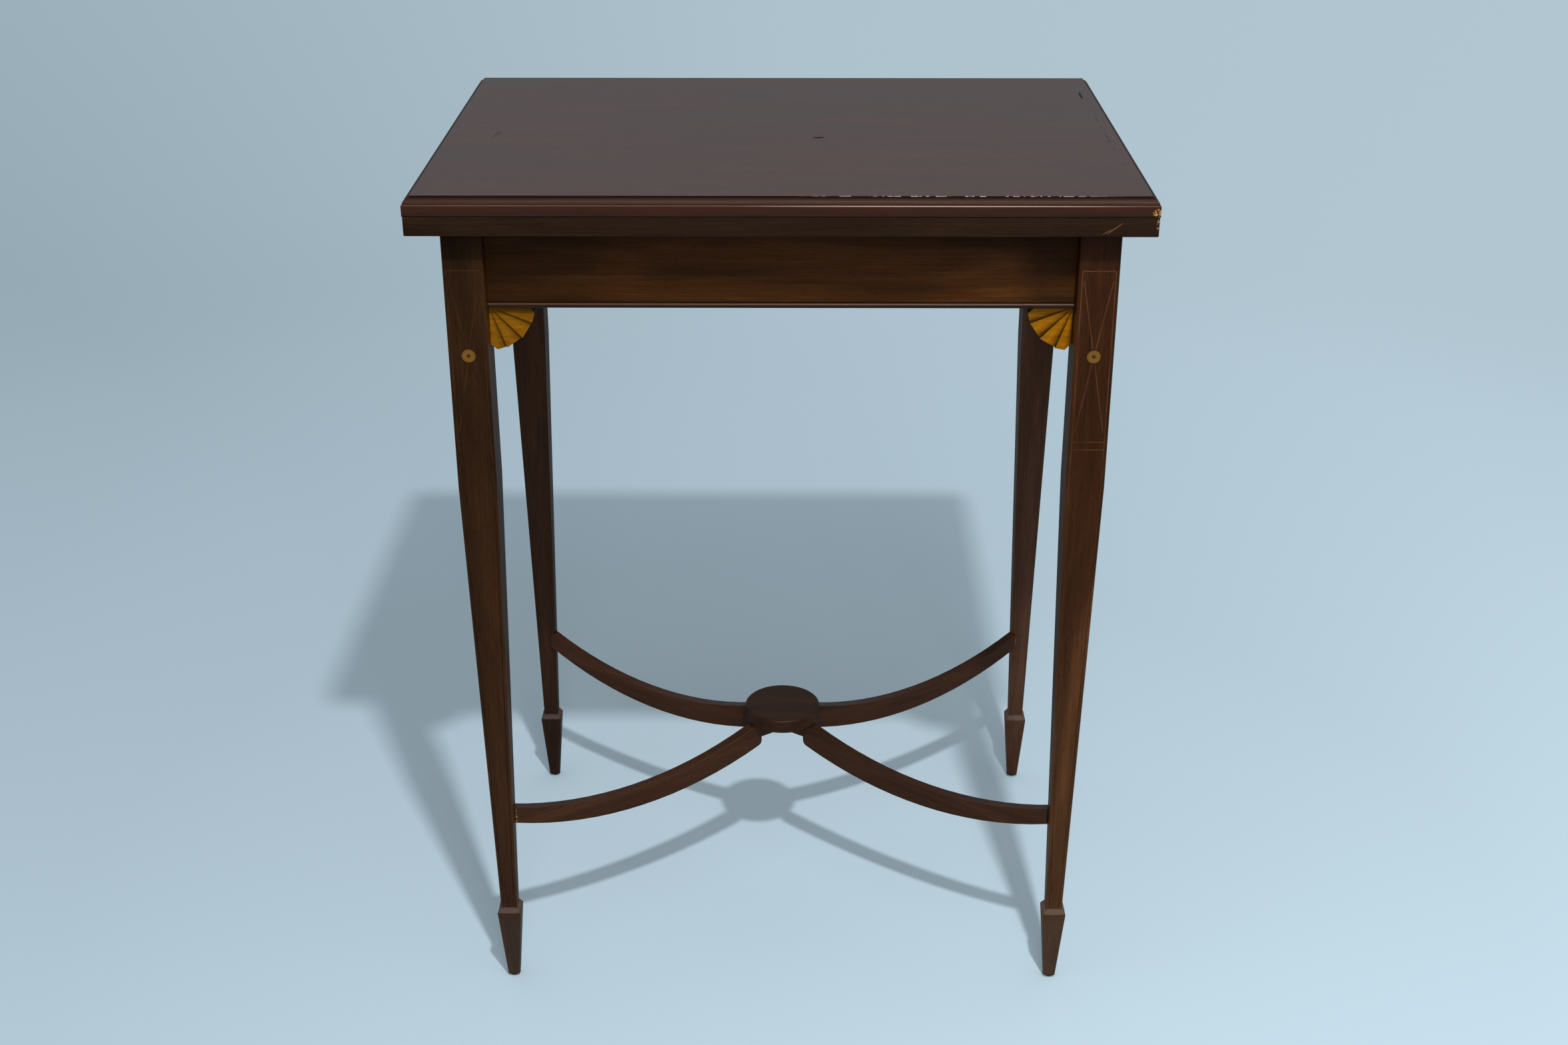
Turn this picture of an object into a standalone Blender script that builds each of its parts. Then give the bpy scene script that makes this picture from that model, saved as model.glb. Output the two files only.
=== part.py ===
"""Fold-over games table: four tapered legs on spade feet, a frieze with a card well,
a cross stretcher with a centre disc, and a two-leaf top that turns and opens on the frame.

Metres, +Z up. The origin is on the floor under the middle of the table. The front looks
along -Y, and the hinged edge of the top is at the rear."""

import bpy
import bmesh
from math import asin, atan2, cos, degrees, hypot, pi, radians, sin, sqrt
from mathutils import Matrix, Vector

# Overall sizes
TOP_WIDTH = 0.572
TOP_DEPTH = 0.412
TOTAL_HEIGHT = 0.742
CLEARANCE = 0.0003
CUT_OVERRUN = 0.004

# Leaves of the top
LEAF_THICKNESS = 0.0150
LOWER_LEAF_INSET = 0.0005
LEAF_ARRIS = 0.0006
QUIRK_HEIGHT = 0.0014
OVOLO_RADIUS = 0.0050
OVOLO_LEDGE = 0.0008
OVOLO_LEDGE_FALL = 0.0003
OVOLO_STEPS = 6
BAIZE_BORDER = 0.042
BAIZE_RECESS = 0.0012
BAIZE_THICKNESS = 0.0008

# Hinges of the leaves, let into the side edges at the rear corners
HINGE_PIN_INSET = 0.0030
HINGE_PIN_RADIUS = 0.0011
HINGE_PIN_TAIL = 0.0010
HINGE_PLATE_LENGTH = 0.060
HINGE_PLATE_HEIGHT = 0.0066
HINGE_PLATE_THICKNESS = 0.0022
HINGE_LINK_THICKNESS = 0.0020
HINGE_SCREW_MARGIN = 0.0110
HINGE_SCREW_SPACING = 0.0250
HINGE_SCREW_COUNT = 2
SCREW_HEAD_RADIUS = 0.0023
SCREW_HEAD_HEIGHT = 0.0016
SCREW_SHANK_RADIUS = 0.0012
SCREW_LENGTH = 0.0120
SCREW_POINT_LENGTH = 0.0025
SCREW_SLOT_WIDTH = 0.0006
SCREW_SLOT_DEPTH = 0.0006
SMALL_ROUND_SIDES = 16

# Legs
SIDE_OVERHANG = 0.0245
FRONT_OVERHANG = 0.0185
LEG_SIDE = 0.0314
LEG_SQUARE_LENGTH = 0.2144
ANKLE_SIDE = 0.0142
FOOT_SHOULDER_TOP = 0.078
FOOT_SHOULDER_HEIGHT = 0.0055
FOOT_TOP_SIDE = 0.0206
FOOT_BOTTOM_SIDE = 0.0100
LEG_ARRIS = 0.0005

# Domed metal glides under the feet
GLIDE_RADIUS = 0.0055
GLIDE_HEIGHT = 0.0018
GLIDE_SPIKE_RADIUS = 0.0012
GLIDE_SPIKE_LENGTH = 0.0100
GLIDE_DOME_STEPS = 5

# Paterae let into the front legs
PATERA_RADIUS = 0.0058
PATERA_THICKNESS = 0.0009
PATERA_DROP = 0.1024
PATERA_SIDES = 32

# Frieze rails, cock beads and the joints to the legs
FRIEZE_HEIGHT = 0.0664
RAIL_SETBACK = 0.0120
RAIL_THICKNESS = 0.0190
COCK_BEAD_HEIGHT = 0.0038
COCK_BEAD_PROUD = 0.0015
COCK_BEAD_ROUND = 0.0015
COCK_BEAD_STEPS = 3
TENON_LENGTH = 0.0180
TENON_THICKNESS = 0.0080
TENON_HEIGHT = 0.0250
TENON_MARGIN = 0.0040

# Fan brackets in the corners under the frieze
FAN_RADIUS = 0.0360
FAN_SETBACK = 0.0140
FAN_THICKNESS = 0.0170
FAN_STEP = 0.0032
FAN_RAY_EDGES_DEG = (0.0, 21.0, 45.0, 69.0, 90.0)
FAN_TOE_DEG = 8.0
FAN_TOE_RADIUS_SHARE = 0.86

# Card well and the rail that carries the pivot
WELL_DEPTH = 0.048
WELL_FLOOR_THICKNESS = 0.006
WELL_GROOVE_DEPTH = 0.005
PARTITION_THICKNESS = 0.008
PARTITION_OFFSET = 0.002
PIVOT_RAIL_WIDTH = 0.086
PIVOT_RAIL_THICKNESS = 0.020
PIVOT_HOUSING_DEPTH = 0.008

# Pivot bolt with its washer and nut
BOLT_RADIUS = 0.0040
BOLT_FLANGE_RADIUS = 0.0180
BOLT_FLANGE_THICKNESS = 0.0025
BOLT_TAIL = 0.0040
BOLT_POINT = 0.0010
WASHER_RADIUS = 0.0100
WASHER_THICKNESS = 0.0016
NUT_ACROSS_CORNERS = 0.0150
NUT_HEIGHT = 0.0065
PIVOT_SIDES = 32

# Cross stretcher
DISC_RADIUS = 0.0355
DISC_THICKNESS = 0.0135
DISC_ROUND = 0.0022
DISC_ROUND_STEPS = 3
DISC_TOP = 0.1875
DISC_SIDES = 64
SPIGOT_RADIUS = 0.0060
SPIGOT_LENGTH = 0.0100
ARM_THICKNESS = 0.0095
ARM_ARRIS = 0.0006
ARM_SEAT_END = 0.0380
ARM_DIP_RADIUS = 0.1600
ARM_DIP_TOP = 0.1520
ARM_BELLY_RADIUS = 0.1490
ARM_BELLY_DEPTH = 0.0198
ARM_DEPTH_AT_LEG = 0.0158
ARM_TONGUE_DEPTH = 0.0125
ARM_TONGUE_START = 0.0075
ARM_SHOULDER_RADIUS = 0.0270
ARM_SHOULDER_ROUND = 0.0050
ARM_ROUND_STEPS = 5
ARM_CURVE_STEPS = 16
ARM_LAP = 0.0020

# Places worked out from the sizes above
HALF_WIDTH = TOP_WIDTH / 2
HALF_DEPTH = TOP_DEPTH / 2
UPPER_LEAF_BOTTOM = TOTAL_HEIGHT - LEAF_THICKNESS
LOWER_LEAF_TOP = UPPER_LEAF_BOTTOM - CLEARANCE
LOWER_LEAF_BOTTOM = LOWER_LEAF_TOP - LEAF_THICKNESS
FRAME_TOP = LOWER_LEAF_BOTTOM - CLEARANCE
FRIEZE_BOTTOM = FRAME_TOP - FRIEZE_HEIGHT
RAIL_BOTTOM = FRIEZE_BOTTOM + COCK_BEAD_HEIGHT + CLEARANCE
FRAME_HALF_WIDTH = HALF_WIDTH - SIDE_OVERHANG
FRAME_HALF_DEPTH = HALF_DEPTH - FRONT_OVERHANG
LEG_AXIS_X = FRAME_HALF_WIDTH - LEG_SIDE / 2
LEG_AXIS_Y = FRAME_HALF_DEPTH - LEG_SIDE / 2
LEG_TAPER_START = FRAME_TOP - LEG_SQUARE_LENGTH
PATERA_HEIGHT = FRAME_TOP - PATERA_DROP
FOOT_BOTTOM = GLIDE_HEIGHT + CLEARANCE
PIVOT_PLACE = TOP_DEPTH / 4
LOWER_PIN_Y = HALF_DEPTH - HINGE_PIN_INSET
LOWER_PIN_Z = LOWER_LEAF_TOP - HINGE_PIN_INSET
UPPER_PIN_Z = UPPER_LEAF_BOTTOM + HINGE_PIN_INSET

ENDS = (("front", -1), ("rear", 1))
FLANKS = (("left", -1), ("right", 1))


def new_collection(name):
    """A collection linked to the scene."""
    collection = bpy.data.collections.new(name)
    bpy.context.scene.collection.children.link(collection)
    return collection


def new_material(name, colour, roughness, metallic=0.0):
    """A Principled material with one colour, for the construction model."""
    made = bpy.data.materials.new(name)
    made.use_nodes = True
    shader = made.node_tree.nodes["Principled BSDF"]
    shader.inputs["Base Color"].default_value = (*colour, 1.0)
    shader.inputs["Roughness"].default_value = roughness
    shader.inputs["Metallic"].default_value = metallic
    made.diffuse_color = (*colour, 1.0)
    return made


def add_object(name, mesh, location=(0, 0, 0), rotation=(0, 0, 0)):
    """An object with a mesh, still in no collection."""
    made = bpy.data.objects.new(name, mesh)
    made.location = location
    made.rotation_euler = rotation
    return made


def add_part(piece, finish):
    """Puts a finished piece in the table's collection, with its material."""
    parts.objects.link(piece)
    piece.data.materials.clear()
    piece.data.materials.append(finish)
    return piece


def mesh_from(bm, name):
    """Turns a bmesh into a mesh with outward faces."""
    bmesh.ops.recalc_face_normals(bm, faces=bm.faces[:])
    mesh = bpy.data.meshes.new(name)
    bm.to_mesh(mesh)
    bm.free()
    return mesh


def box_mesh(name, size, arris=0.0):
    """A box about its own centre, with all edges eased by the arris."""
    bm = bmesh.new()
    bmesh.ops.create_cube(bm, size=1.0, matrix=Matrix.Diagonal((*size, 1.0)))
    if arris:
        bmesh.ops.bevel(bm, geom=bm.edges[:], offset=arris, segments=1, affect="EDGES")
    return mesh_from(bm, name)


def box(name, low, high, arris=0.0):
    """A box between two corners."""
    low, high = Vector(low), Vector(high)
    return add_object(name, box_mesh(name, high - low, arris), (low + high) / 2)


def layered_mesh(name, layers):
    """A block built upwards from rectangles: each layer is left, right, front, rear, height."""
    left, right, front, rear, low = layers[0]
    high = layers[1][4]
    centre = ((left + right) / 2, (front + rear) / 2, (low + high) / 2)
    size = (right - left, rear - front, high - low, 1.0)
    bm = bmesh.new()
    bmesh.ops.create_cube(bm, size=1.0, matrix=Matrix.Translation(centre) @ Matrix.Diagonal(size))
    top = max(bm.faces, key=lambda face: face.calc_center_median().z)
    for index, (left, right, front, rear, height) in enumerate(layers[1:]):
        if index:
            made = bmesh.ops.extrude_face_region(bm, geom=[top])["geom"]
            old, top = top, next(item for item in made if isinstance(item, bmesh.types.BMFace))
            bmesh.ops.delete(bm, geom=[old], context="FACES")
        middle = top.calc_center_median()
        for vert in top.verts:
            vert.co = (right if vert.co.x > middle.x else left, rear if vert.co.y > middle.y else front, height)
    return mesh_from(bm, name)


def round_edges(mesh, chosen, radius, segments):
    """Rounds the edges of a mesh that the test chooses."""
    bm = bmesh.new()
    bm.from_mesh(mesh)
    edges = [edge for edge in bm.edges if chosen(*(vert.co for vert in edge.verts))]
    bmesh.ops.bevel(bm, geom=edges, offset=radius, segments=segments, profile=0.5, affect="EDGES")
    bm.to_mesh(mesh)
    bm.free()


def outline_object(name, outline, thickness, holes=()):
    """A flat plate: an outline and round holes in XY, as thick as asked along Z."""
    curve = bpy.data.curves.new(name, "CURVE")
    curve.dimensions = "2D"
    curve.fill_mode = "BOTH"
    curve.extrude = thickness / 2
    for points in (outline, *holes):
        spline = curve.splines.new("POLY")
        spline.points.add(len(points) - 1)
        for point, (x, y) in zip(spline.points, points):
            point.co = (x, y, 0.0, 1.0)
        spline.use_cyclic_u = True
    drawn = add_object(name + "_outline", curve)
    cutters.objects.link(drawn)
    bpy.context.view_layer.update()
    evaluated = drawn.evaluated_get(bpy.context.evaluated_depsgraph_get())
    mesh = bpy.data.meshes.new_from_object(evaluated)
    mesh.name = name
    bpy.data.objects.remove(drawn)
    bm = bmesh.new()
    bm.from_mesh(mesh)
    bmesh.ops.remove_doubles(bm, verts=bm.verts[:], dist=CLEARANCE / 100)
    bmesh.ops.recalc_face_normals(bm, faces=bm.faces[:])
    bm.to_mesh(mesh)
    bm.free()
    return add_object(name, mesh)


def circle(centre, radius, sides):
    """Points round a circle."""
    turns = [2 * pi * step / sides for step in range(sides)]
    return [(centre[0] + radius * cos(turn), centre[1] + radius * sin(turn)) for turn in turns]


def arc(centre, radius, start_deg, end_deg, steps):
    """Points along an arc, both ends included."""
    turns = [radians(start_deg + (end_deg - start_deg) * step / steps) for step in range(steps + 1)]
    return [(centre[0] + radius * cos(turn), centre[1] + radius * sin(turn)) for turn in turns]


def turned(name, profile, sides, closed=False):
    """A turned piece: a profile of radius and height, run top to bottom, spun about Z."""
    count = len(profile)
    edges = [(index, index + 1) for index in range(count - 1)] + ([(count - 1, 0)] if closed else [])
    mesh = bpy.data.meshes.new(name)
    mesh.from_pydata([(radius, 0.0, height) for radius, height in profile], edges, [])
    made = add_object(name, mesh)
    screw = made.modifiers.new("Turn", "SCREW")
    screw.axis = "Z"
    screw.steps = sides
    screw.render_steps = sides
    screw.use_merge_vertices = True
    screw.merge_threshold = CLEARANCE / 100
    return made


def add_cutter(piece):
    """Puts a cutter in its own collection, out of the render."""
    cutters.objects.link(piece)
    piece.hide_render = True
    piece.display_type = "WIRE"
    return piece


def combine(target, tool, operation):
    """A Boolean of a target with a tool that stays in the cutters."""
    if tool.name not in cutters.objects:
        add_cutter(tool)
    step = target.modifiers.new(operation.title(), "BOOLEAN")
    step.operation = operation
    step.object = tool
    step.solver = "EXACT"


def cut_box(target, name, low, high):
    """Cuts a box out of a piece."""
    combine(target, box(name, low, high), "DIFFERENCE")


def cut_round(target, name, radius, length, location, rotation=(0, 0, 0)):
    """Cuts a round hole, centred on its location, out of a piece."""
    bm = bmesh.new()
    bmesh.ops.create_cone(bm, cap_ends=True, segments=PIVOT_SIDES, radius1=radius, radius2=radius, depth=length)
    combine(target, add_object(name, mesh_from(bm, name), location, rotation), "DIFFERENCE")


def hang(piece, axis):
    """Parents a piece to a joint's empty and keeps its place."""
    bpy.context.view_layer.update()
    piece.parent = axis
    piece.matrix_parent_inverse = axis.matrix_world.inverted()


def joint_axis(name, location, parent=None):
    """An empty on a joint's axis."""
    made = bpy.data.objects.new(name, None)
    made.empty_display_size = HINGE_PLATE_LENGTH
    made.location = location
    parts.objects.link(made)
    if parent:
        hang(made, parent)
    return made


def leg_side(height):
    """Side of the square leg at a height above the spade foot."""
    share = min(1.0, (LEG_TAPER_START - height) / (LEG_TAPER_START - FOOT_SHOULDER_TOP))
    return LEG_SIDE - max(0.0, share) * (LEG_SIDE - ANKLE_SIDE)


def square_layer(side, height):
    """One layer of a square block about its axis."""
    return (-side / 2, side / 2, -side / 2, side / 2, height)


def make_legs():
    """Four square tapered legs on spade feet, mortised for the rails."""
    layers = [
        square_layer(FOOT_BOTTOM_SIDE, FOOT_BOTTOM),
        square_layer(FOOT_TOP_SIDE, FOOT_SHOULDER_TOP - FOOT_SHOULDER_HEIGHT),
        square_layer(ANKLE_SIDE, FOOT_SHOULDER_TOP),
        square_layer(LEG_SIDE, LEG_TAPER_START),
        square_layer(LEG_SIDE, FRAME_TOP),
    ]
    for end, sy in ENDS:
        for flank, sx in FLANKS:
            leg = add_object(f"{end}_{flank}_leg", layered_mesh("leg", layers), (sx * LEG_AXIS_X, sy * LEG_AXIS_Y, 0))
            easing = leg.modifiers.new("Arris", "BEVEL")
            easing.width = LEG_ARRIS
            easing.segments = 1
            easing.limit_method = "ANGLE"
            easing.angle_limit = radians(45)
            add_part(leg, mahogany)
            for along_x in (True, False):
                low, high = tenon_corners(sx, sy, along_x, CLEARANCE)
                cut_box(leg, f"{leg.name}_mortise_{'front' if along_x else 'side'}", low, high)
            hole_depth = GLIDE_SPIKE_LENGTH + CLEARANCE
            cut_round(leg, f"{leg.name}_glide_hole", GLIDE_SPIKE_RADIUS + CLEARANCE, 2 * hole_depth,
                      (leg.location.x, leg.location.y, FOOT_BOTTOM))
            if end == "front":
                cut_round(leg, f"{leg.name}_patera_recess", PATERA_RADIUS + CLEARANCE,
                          2 * (PATERA_THICKNESS + CLEARANCE),
                          (leg.location.x, sy * FRAME_HALF_DEPTH, PATERA_HEIGHT), (radians(90), 0, 0))


def tenon_corners(sx, sy, along_x, ease):
    """Corners of one tenon inside a leg; the two tenons of a leg pass above and below."""
    rail_middle_x = FRAME_HALF_WIDTH - RAIL_SETBACK - RAIL_THICKNESS / 2
    rail_middle_y = FRAME_HALF_DEPTH - RAIL_SETBACK - RAIL_THICKNESS / 2
    half = TENON_THICKNESS / 2 + ease
    reach = TENON_LENGTH + ease
    if along_x:
        start = FRAME_HALF_WIDTH - LEG_SIDE
        x = sorted((sx * (start - CUT_OVERRUN), sx * (start + reach)))
        y = sorted((sy * (rail_middle_y - half), sy * (rail_middle_y + half)))
        base = FRAME_TOP - TENON_MARGIN - TENON_HEIGHT
    else:
        start = FRAME_HALF_DEPTH - LEG_SIDE
        x = sorted((sx * (rail_middle_x - half), sx * (rail_middle_x + half)))
        y = sorted((sy * (start - CUT_OVERRUN), sy * (start + reach)))
        base = RAIL_BOTTOM + TENON_MARGIN
    return (x[0], y[0], base - ease), (x[1], y[1], base + TENON_HEIGHT + ease)


def rail_corners(side, along_x, low, high, inner, outer):
    """Corners of a strip between two legs, measured inwards from the frame's outer face."""
    if along_x:
        reach = FRAME_HALF_WIDTH - LEG_SIDE - CLEARANCE
        y = sorted((side * (FRAME_HALF_DEPTH - inner), side * (FRAME_HALF_DEPTH - outer)))
        return (-reach, y[0], low), (reach, y[1], high)
    reach = FRAME_HALF_DEPTH - LEG_SIDE - CLEARANCE
    x = sorted((side * (FRAME_HALF_WIDTH - inner), side * (FRAME_HALF_WIDTH - outer)))
    return (x[0], -reach, low), (x[1], reach, high)


def make_frieze():
    """Four tenoned rails, with a cock bead under each."""
    rail_inner = RAIL_SETBACK + RAIL_THICKNESS
    for names, along_x in ((ENDS, True), (FLANKS, False)):
        for name, side in names:
            low, high = rail_corners(side, along_x, RAIL_BOTTOM, FRAME_TOP, rail_inner, RAIL_SETBACK)
            rail = add_part(box(f"{name}_frieze", low, high), mahogany)
            for other in (-1, 1):
                sx, sy = (other, side) if along_x else (side, other)
                low, high = tenon_corners(sx, sy, along_x, 0.0)
                combine(rail, box(f"{rail.name}_tenon_{other}", low, high), "UNION")
            if along_x:
                house_rail(rail, side)
            low, high = rail_corners(side, along_x, FRIEZE_BOTTOM, FRIEZE_BOTTOM + COCK_BEAD_HEIGHT, rail_inner,
                                     RAIL_SETBACK - COCK_BEAD_PROUD)
            bead = add_part(box(f"{name}_cock_bead", low, high), mahogany)
            axis = 1 if along_x else 0
            face = side * (high[axis] - low[axis]) / 2
            round_edges(bead.data, lambda a, b: a[axis] == b[axis] and abs(a[axis] - face) < CLEARANCE / 10
                        and a.z == b.z, COCK_BEAD_ROUND, COCK_BEAD_STEPS)


def house_rail(rail, side):
    """Housing for the pivot rail and groove for the well floor, in the front or rear rail."""
    inner = FRAME_HALF_DEPTH - RAIL_SETBACK - RAIL_THICKNESS
    y = sorted((side * (inner - CUT_OVERRUN), side * (inner + PIVOT_HOUSING_DEPTH + CLEARANCE)))
    half = PIVOT_RAIL_WIDTH / 2 + CLEARANCE
    cut_box(rail, f"{rail.name}_housing", (PIVOT_PLACE - half, y[0], FRAME_TOP - PIVOT_RAIL_THICKNESS - CLEARANCE),
            (PIVOT_PLACE + half, y[1], FRAME_TOP + CUT_OVERRUN))
    y = sorted((side * (inner - CUT_OVERRUN), side * (inner + WELL_GROOVE_DEPTH + CLEARANCE)))
    left, right = well_floor_span()
    floor_top = FRAME_TOP - WELL_DEPTH
    cut_box(rail, f"{rail.name}_groove", (left - CUT_OVERRUN, y[0], floor_top - WELL_FLOOR_THICKNESS - CLEARANCE),
            (right + CLEARANCE, y[1], floor_top + CLEARANCE))


def well_floor_span():
    """Left and right edges of the well floor."""
    left = -(FRAME_HALF_WIDTH - LEG_SIDE - CLEARANCE)
    return left, PARTITION_OFFSET + PARTITION_THICKNESS


def make_well():
    """Floor and partition of the card well, and the rail that carries the pivot."""
    inner = FRAME_HALF_DEPTH - RAIL_SETBACK - RAIL_THICKNESS
    left, right = well_floor_span()
    floor_top = FRAME_TOP - WELL_DEPTH
    reach = inner + WELL_GROOVE_DEPTH
    add_part(box("well_floor", (left, -reach, floor_top - WELL_FLOOR_THICKNESS), (right, reach, floor_top)), pine)
    reach = inner - CLEARANCE
    add_part(box("well_partition", (PARTITION_OFFSET, -reach, floor_top + CLEARANCE), (right, reach, FRAME_TOP)), pine)
    reach = inner + PIVOT_HOUSING_DEPTH
    half = PIVOT_RAIL_WIDTH / 2
    rail = add_part(box("pivot_rail", (PIVOT_PLACE - half, -reach, FRAME_TOP - PIVOT_RAIL_THICKNESS),
                        (PIVOT_PLACE + half, reach, FRAME_TOP), LEG_ARRIS), pine)
    cut_round(rail, "pivot_rail_hole", BOLT_RADIUS + CLEARANCE, 4 * PIVOT_RAIL_THICKNESS,
              (PIVOT_PLACE, PIVOT_PLACE, FRAME_TOP))


def fan_mesh():
    """A quarter fan of four pleats, each sloping back from one edge to the next.
    The apex is the origin, the pleats run from straight down round to +X, and the front is -Y."""
    edges = FAN_RAY_EDGES_DEG
    bm = bmesh.new()
    apex = bm.verts.new((0, FAN_STEP / 2, 0))
    apex_back = bm.verts.new((0, FAN_THICKNESS, 0))

    def rim_place(angle):
        at_end = angle in (edges[0], edges[-1])
        radius = FAN_RADIUS * (FAN_TOE_RADIUS_SHARE if at_end else 1.0)
        return radius * sin(radians(angle)), -radius * cos(radians(angle))

    def rim_point(angle, depth):
        x, z = rim_place(angle)
        return bm.verts.new((x, depth, z))

    before = None
    back_points = []
    for start, end in zip(edges, edges[1:]):
        angles = [start, end]
        if start == edges[0]:
            angles.insert(1, start + FAN_TOE_DEG)
        if end == edges[-1]:
            angles.insert(-1, end - FAN_TOE_DEG)
        front = [rim_point(angle, FAN_STEP * (angle - start) / (end - start)) for angle in angles]
        back = [rim_point(angle, FAN_THICKNESS) for angle in angles]
        if before:
            bm.verts.remove(back[0])
            back[0] = back_points[-1]
            bm.faces.new((apex, before, front[0]))
            bm.faces.new((before, front[1], front[0]))
            bm.faces.new((before, back[1], front[1]))
            bm.faces.new((before, back[0], back[1]))
            back_points += back[1:]
        else:
            bm.faces.new((front[0], front[1], back[1], back[0]))
            back_points += back
        for step in range(len(angles) - 1):
            bm.faces.new((apex, front[step], front[step + 1]))
            if step:
                bm.faces.new((front[step], front[step + 1], back[step + 1], back[step]))
        if before is None:
            bm.faces.new((apex, apex_back, back[0], front[0]))
        before = front[-1]
    bm.faces.new((apex, before, back_points[-1], apex_back))
    bm.faces.new([apex_back] + back_points[::-1])
    return mesh_from(bm, "fan")


def make_fans():
    """Eight fan brackets, one on each outward side of each leg. Those right of an opening
    are the same piece turned a quarter turn."""
    top = FRIEZE_BOTTOM - CLEARANCE
    across_x = FRAME_HALF_WIDTH - LEG_SIDE - CLEARANCE
    across_y = FRAME_HALF_DEPTH - LEG_SIDE - CLEARANCE
    face_x = FRAME_HALF_WIDTH - FAN_SETBACK
    face_y = FRAME_HALF_DEPTH - FAN_SETBACK
    sides = (
        ("front", "left", "right", 0, lambda along: (along * across_x, -face_y, top)),
        ("right", "front", "rear", 90, lambda along: (face_x, along * across_y, top)),
        ("rear", "right", "left", 180, lambda along: (-along * across_x, face_y, top)),
        ("left", "rear", "front", 270, lambda along: (-face_x, -along * across_y, top)),
    )
    for side, first, second, turn, place in sides:
        for name, along, tilt in ((first, -1, 0), (second, 1, 90)):
            fan = add_object(f"fan_bracket_{side}_{name}", fan_mesh(), place(along))
            fan.rotation_euler = (Matrix.Rotation(radians(turn), 3, "Z")
                                  @ Matrix.Rotation(radians(tilt), 3, "Y")).to_euler()
            add_part(fan, satinwood)


def arm_top_radius():
    """Radius of an arm's top edge, from its lowest point up to its seat under the disc."""
    rise = DISC_TOP - DISC_THICKNESS - CLEARANCE - ARM_DIP_TOP
    run = ARM_DIP_RADIUS - ARM_SEAT_END
    return (run * run + rise * rise) / (2 * rise)


def arc_height(radius, low, distance):
    """Height on a sagging arc, given its lowest height and the distance from its lowest point."""
    return low + radius - sqrt(radius * radius - distance * distance)


def arm_outline(leg_distance):
    """Side view of an arm: distance from the table's centre, and height."""
    seat = DISC_TOP - DISC_THICKNESS - CLEARANCE
    top_radius = arm_top_radius()
    end = leg_distance + ARM_LAP
    run_out = leg_distance - ARM_BELLY_RADIUS
    low = ARM_DIP_TOP - ARM_BELLY_DEPTH
    leg_low = arc_height(top_radius, ARM_DIP_TOP, leg_distance - ARM_DIP_RADIUS) - ARM_DEPTH_AT_LEG
    rise = leg_low - low
    low_radius = (run_out * run_out + rise * rise) / (2 * rise)
    points = [(ARM_TONGUE_START, seat)]
    for step in range(ARM_CURVE_STEPS + 1):
        along = ARM_SEAT_END + (end - ARM_SEAT_END) * step / ARM_CURVE_STEPS
        points.append((along, arc_height(top_radius, ARM_DIP_TOP, along - ARM_DIP_RADIUS)))
    slope = (ARM_BELLY_RADIUS - ARM_SHOULDER_RADIUS) / low_radius
    start = ARM_SHOULDER_RADIUS + ARM_SHOULDER_ROUND * (1 - slope)
    for step in range(ARM_CURVE_STEPS + 1):
        along = end + (start - end) * step / ARM_CURVE_STEPS
        points.append((along, arc_height(low_radius, low, along - ARM_BELLY_RADIUS)))
    centre = (start + ARM_SHOULDER_ROUND * slope, points[-1][1] + ARM_SHOULDER_ROUND * sqrt(1 - slope * slope))
    points += arc(centre, ARM_SHOULDER_ROUND, 270 - degrees(asin(slope)), 180, ARM_ROUND_STEPS)[1:]
    underside = seat - ARM_TONGUE_DEPTH
    points.append((ARM_SHOULDER_RADIUS, underside))
    points.append((ARM_TONGUE_START, underside))
    return points[::-1]


def make_stretcher():
    """Four curved arms on the diagonals, let round the legs' inner arrises, and a disc on top."""
    seat = DISC_TOP - DISC_THICKNESS
    disc_profile = [(0.0, DISC_TOP)]
    inner = DISC_RADIUS - DISC_ROUND
    disc_profile += arc((inner, DISC_TOP - DISC_ROUND), DISC_ROUND, 90, 0, DISC_ROUND_STEPS)
    disc_profile += arc((inner, seat + DISC_ROUND), DISC_ROUND, 0, -90, DISC_ROUND_STEPS)
    disc_profile += [(SPIGOT_RADIUS, seat), (SPIGOT_RADIUS, seat - SPIGOT_LENGTH), (0.0, seat - SPIGOT_LENGTH)]
    disc = add_part(turned("stretcher_disc", disc_profile, DISC_SIDES), mahogany)
    for name, sy in ENDS:
        for flank, sx in FLANKS:
            joint = ARM_DIP_TOP
            corner_x = LEG_AXIS_X - leg_side(joint) / 2
            corner_y = LEG_AXIS_Y - leg_side(joint) / 2
            arm = outline_object(f"stretcher_arm_{name}_{flank}", arm_outline(hypot(corner_x, corner_y)), ARM_THICKNESS)
            arm.rotation_euler = (radians(90), 0, atan2(sy * corner_y, sx * corner_x))
            add_part(arm, mahogany)
            easing = arm.modifiers.new("Arris", "BEVEL")
            easing.width = ARM_ARRIS
            easing.segments = 1
            easing.limit_method = "ANGLE"
            easing.angle_limit = radians(60)
            ease = 2 * CLEARANCE
            layers = [square_layer(leg_side(height) + ease, height)
                      for height in (FOOT_SHOULDER_TOP + ANKLE_SIDE, DISC_TOP + ARM_DEPTH_AT_LEG)]
            notch = add_object(f"{arm.name}_notch", layered_mesh("notch", layers), (sx * LEG_AXIS_X, sy * LEG_AXIS_Y, 0))
            combine(arm, notch, "DIFFERENCE")
    return disc


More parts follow.
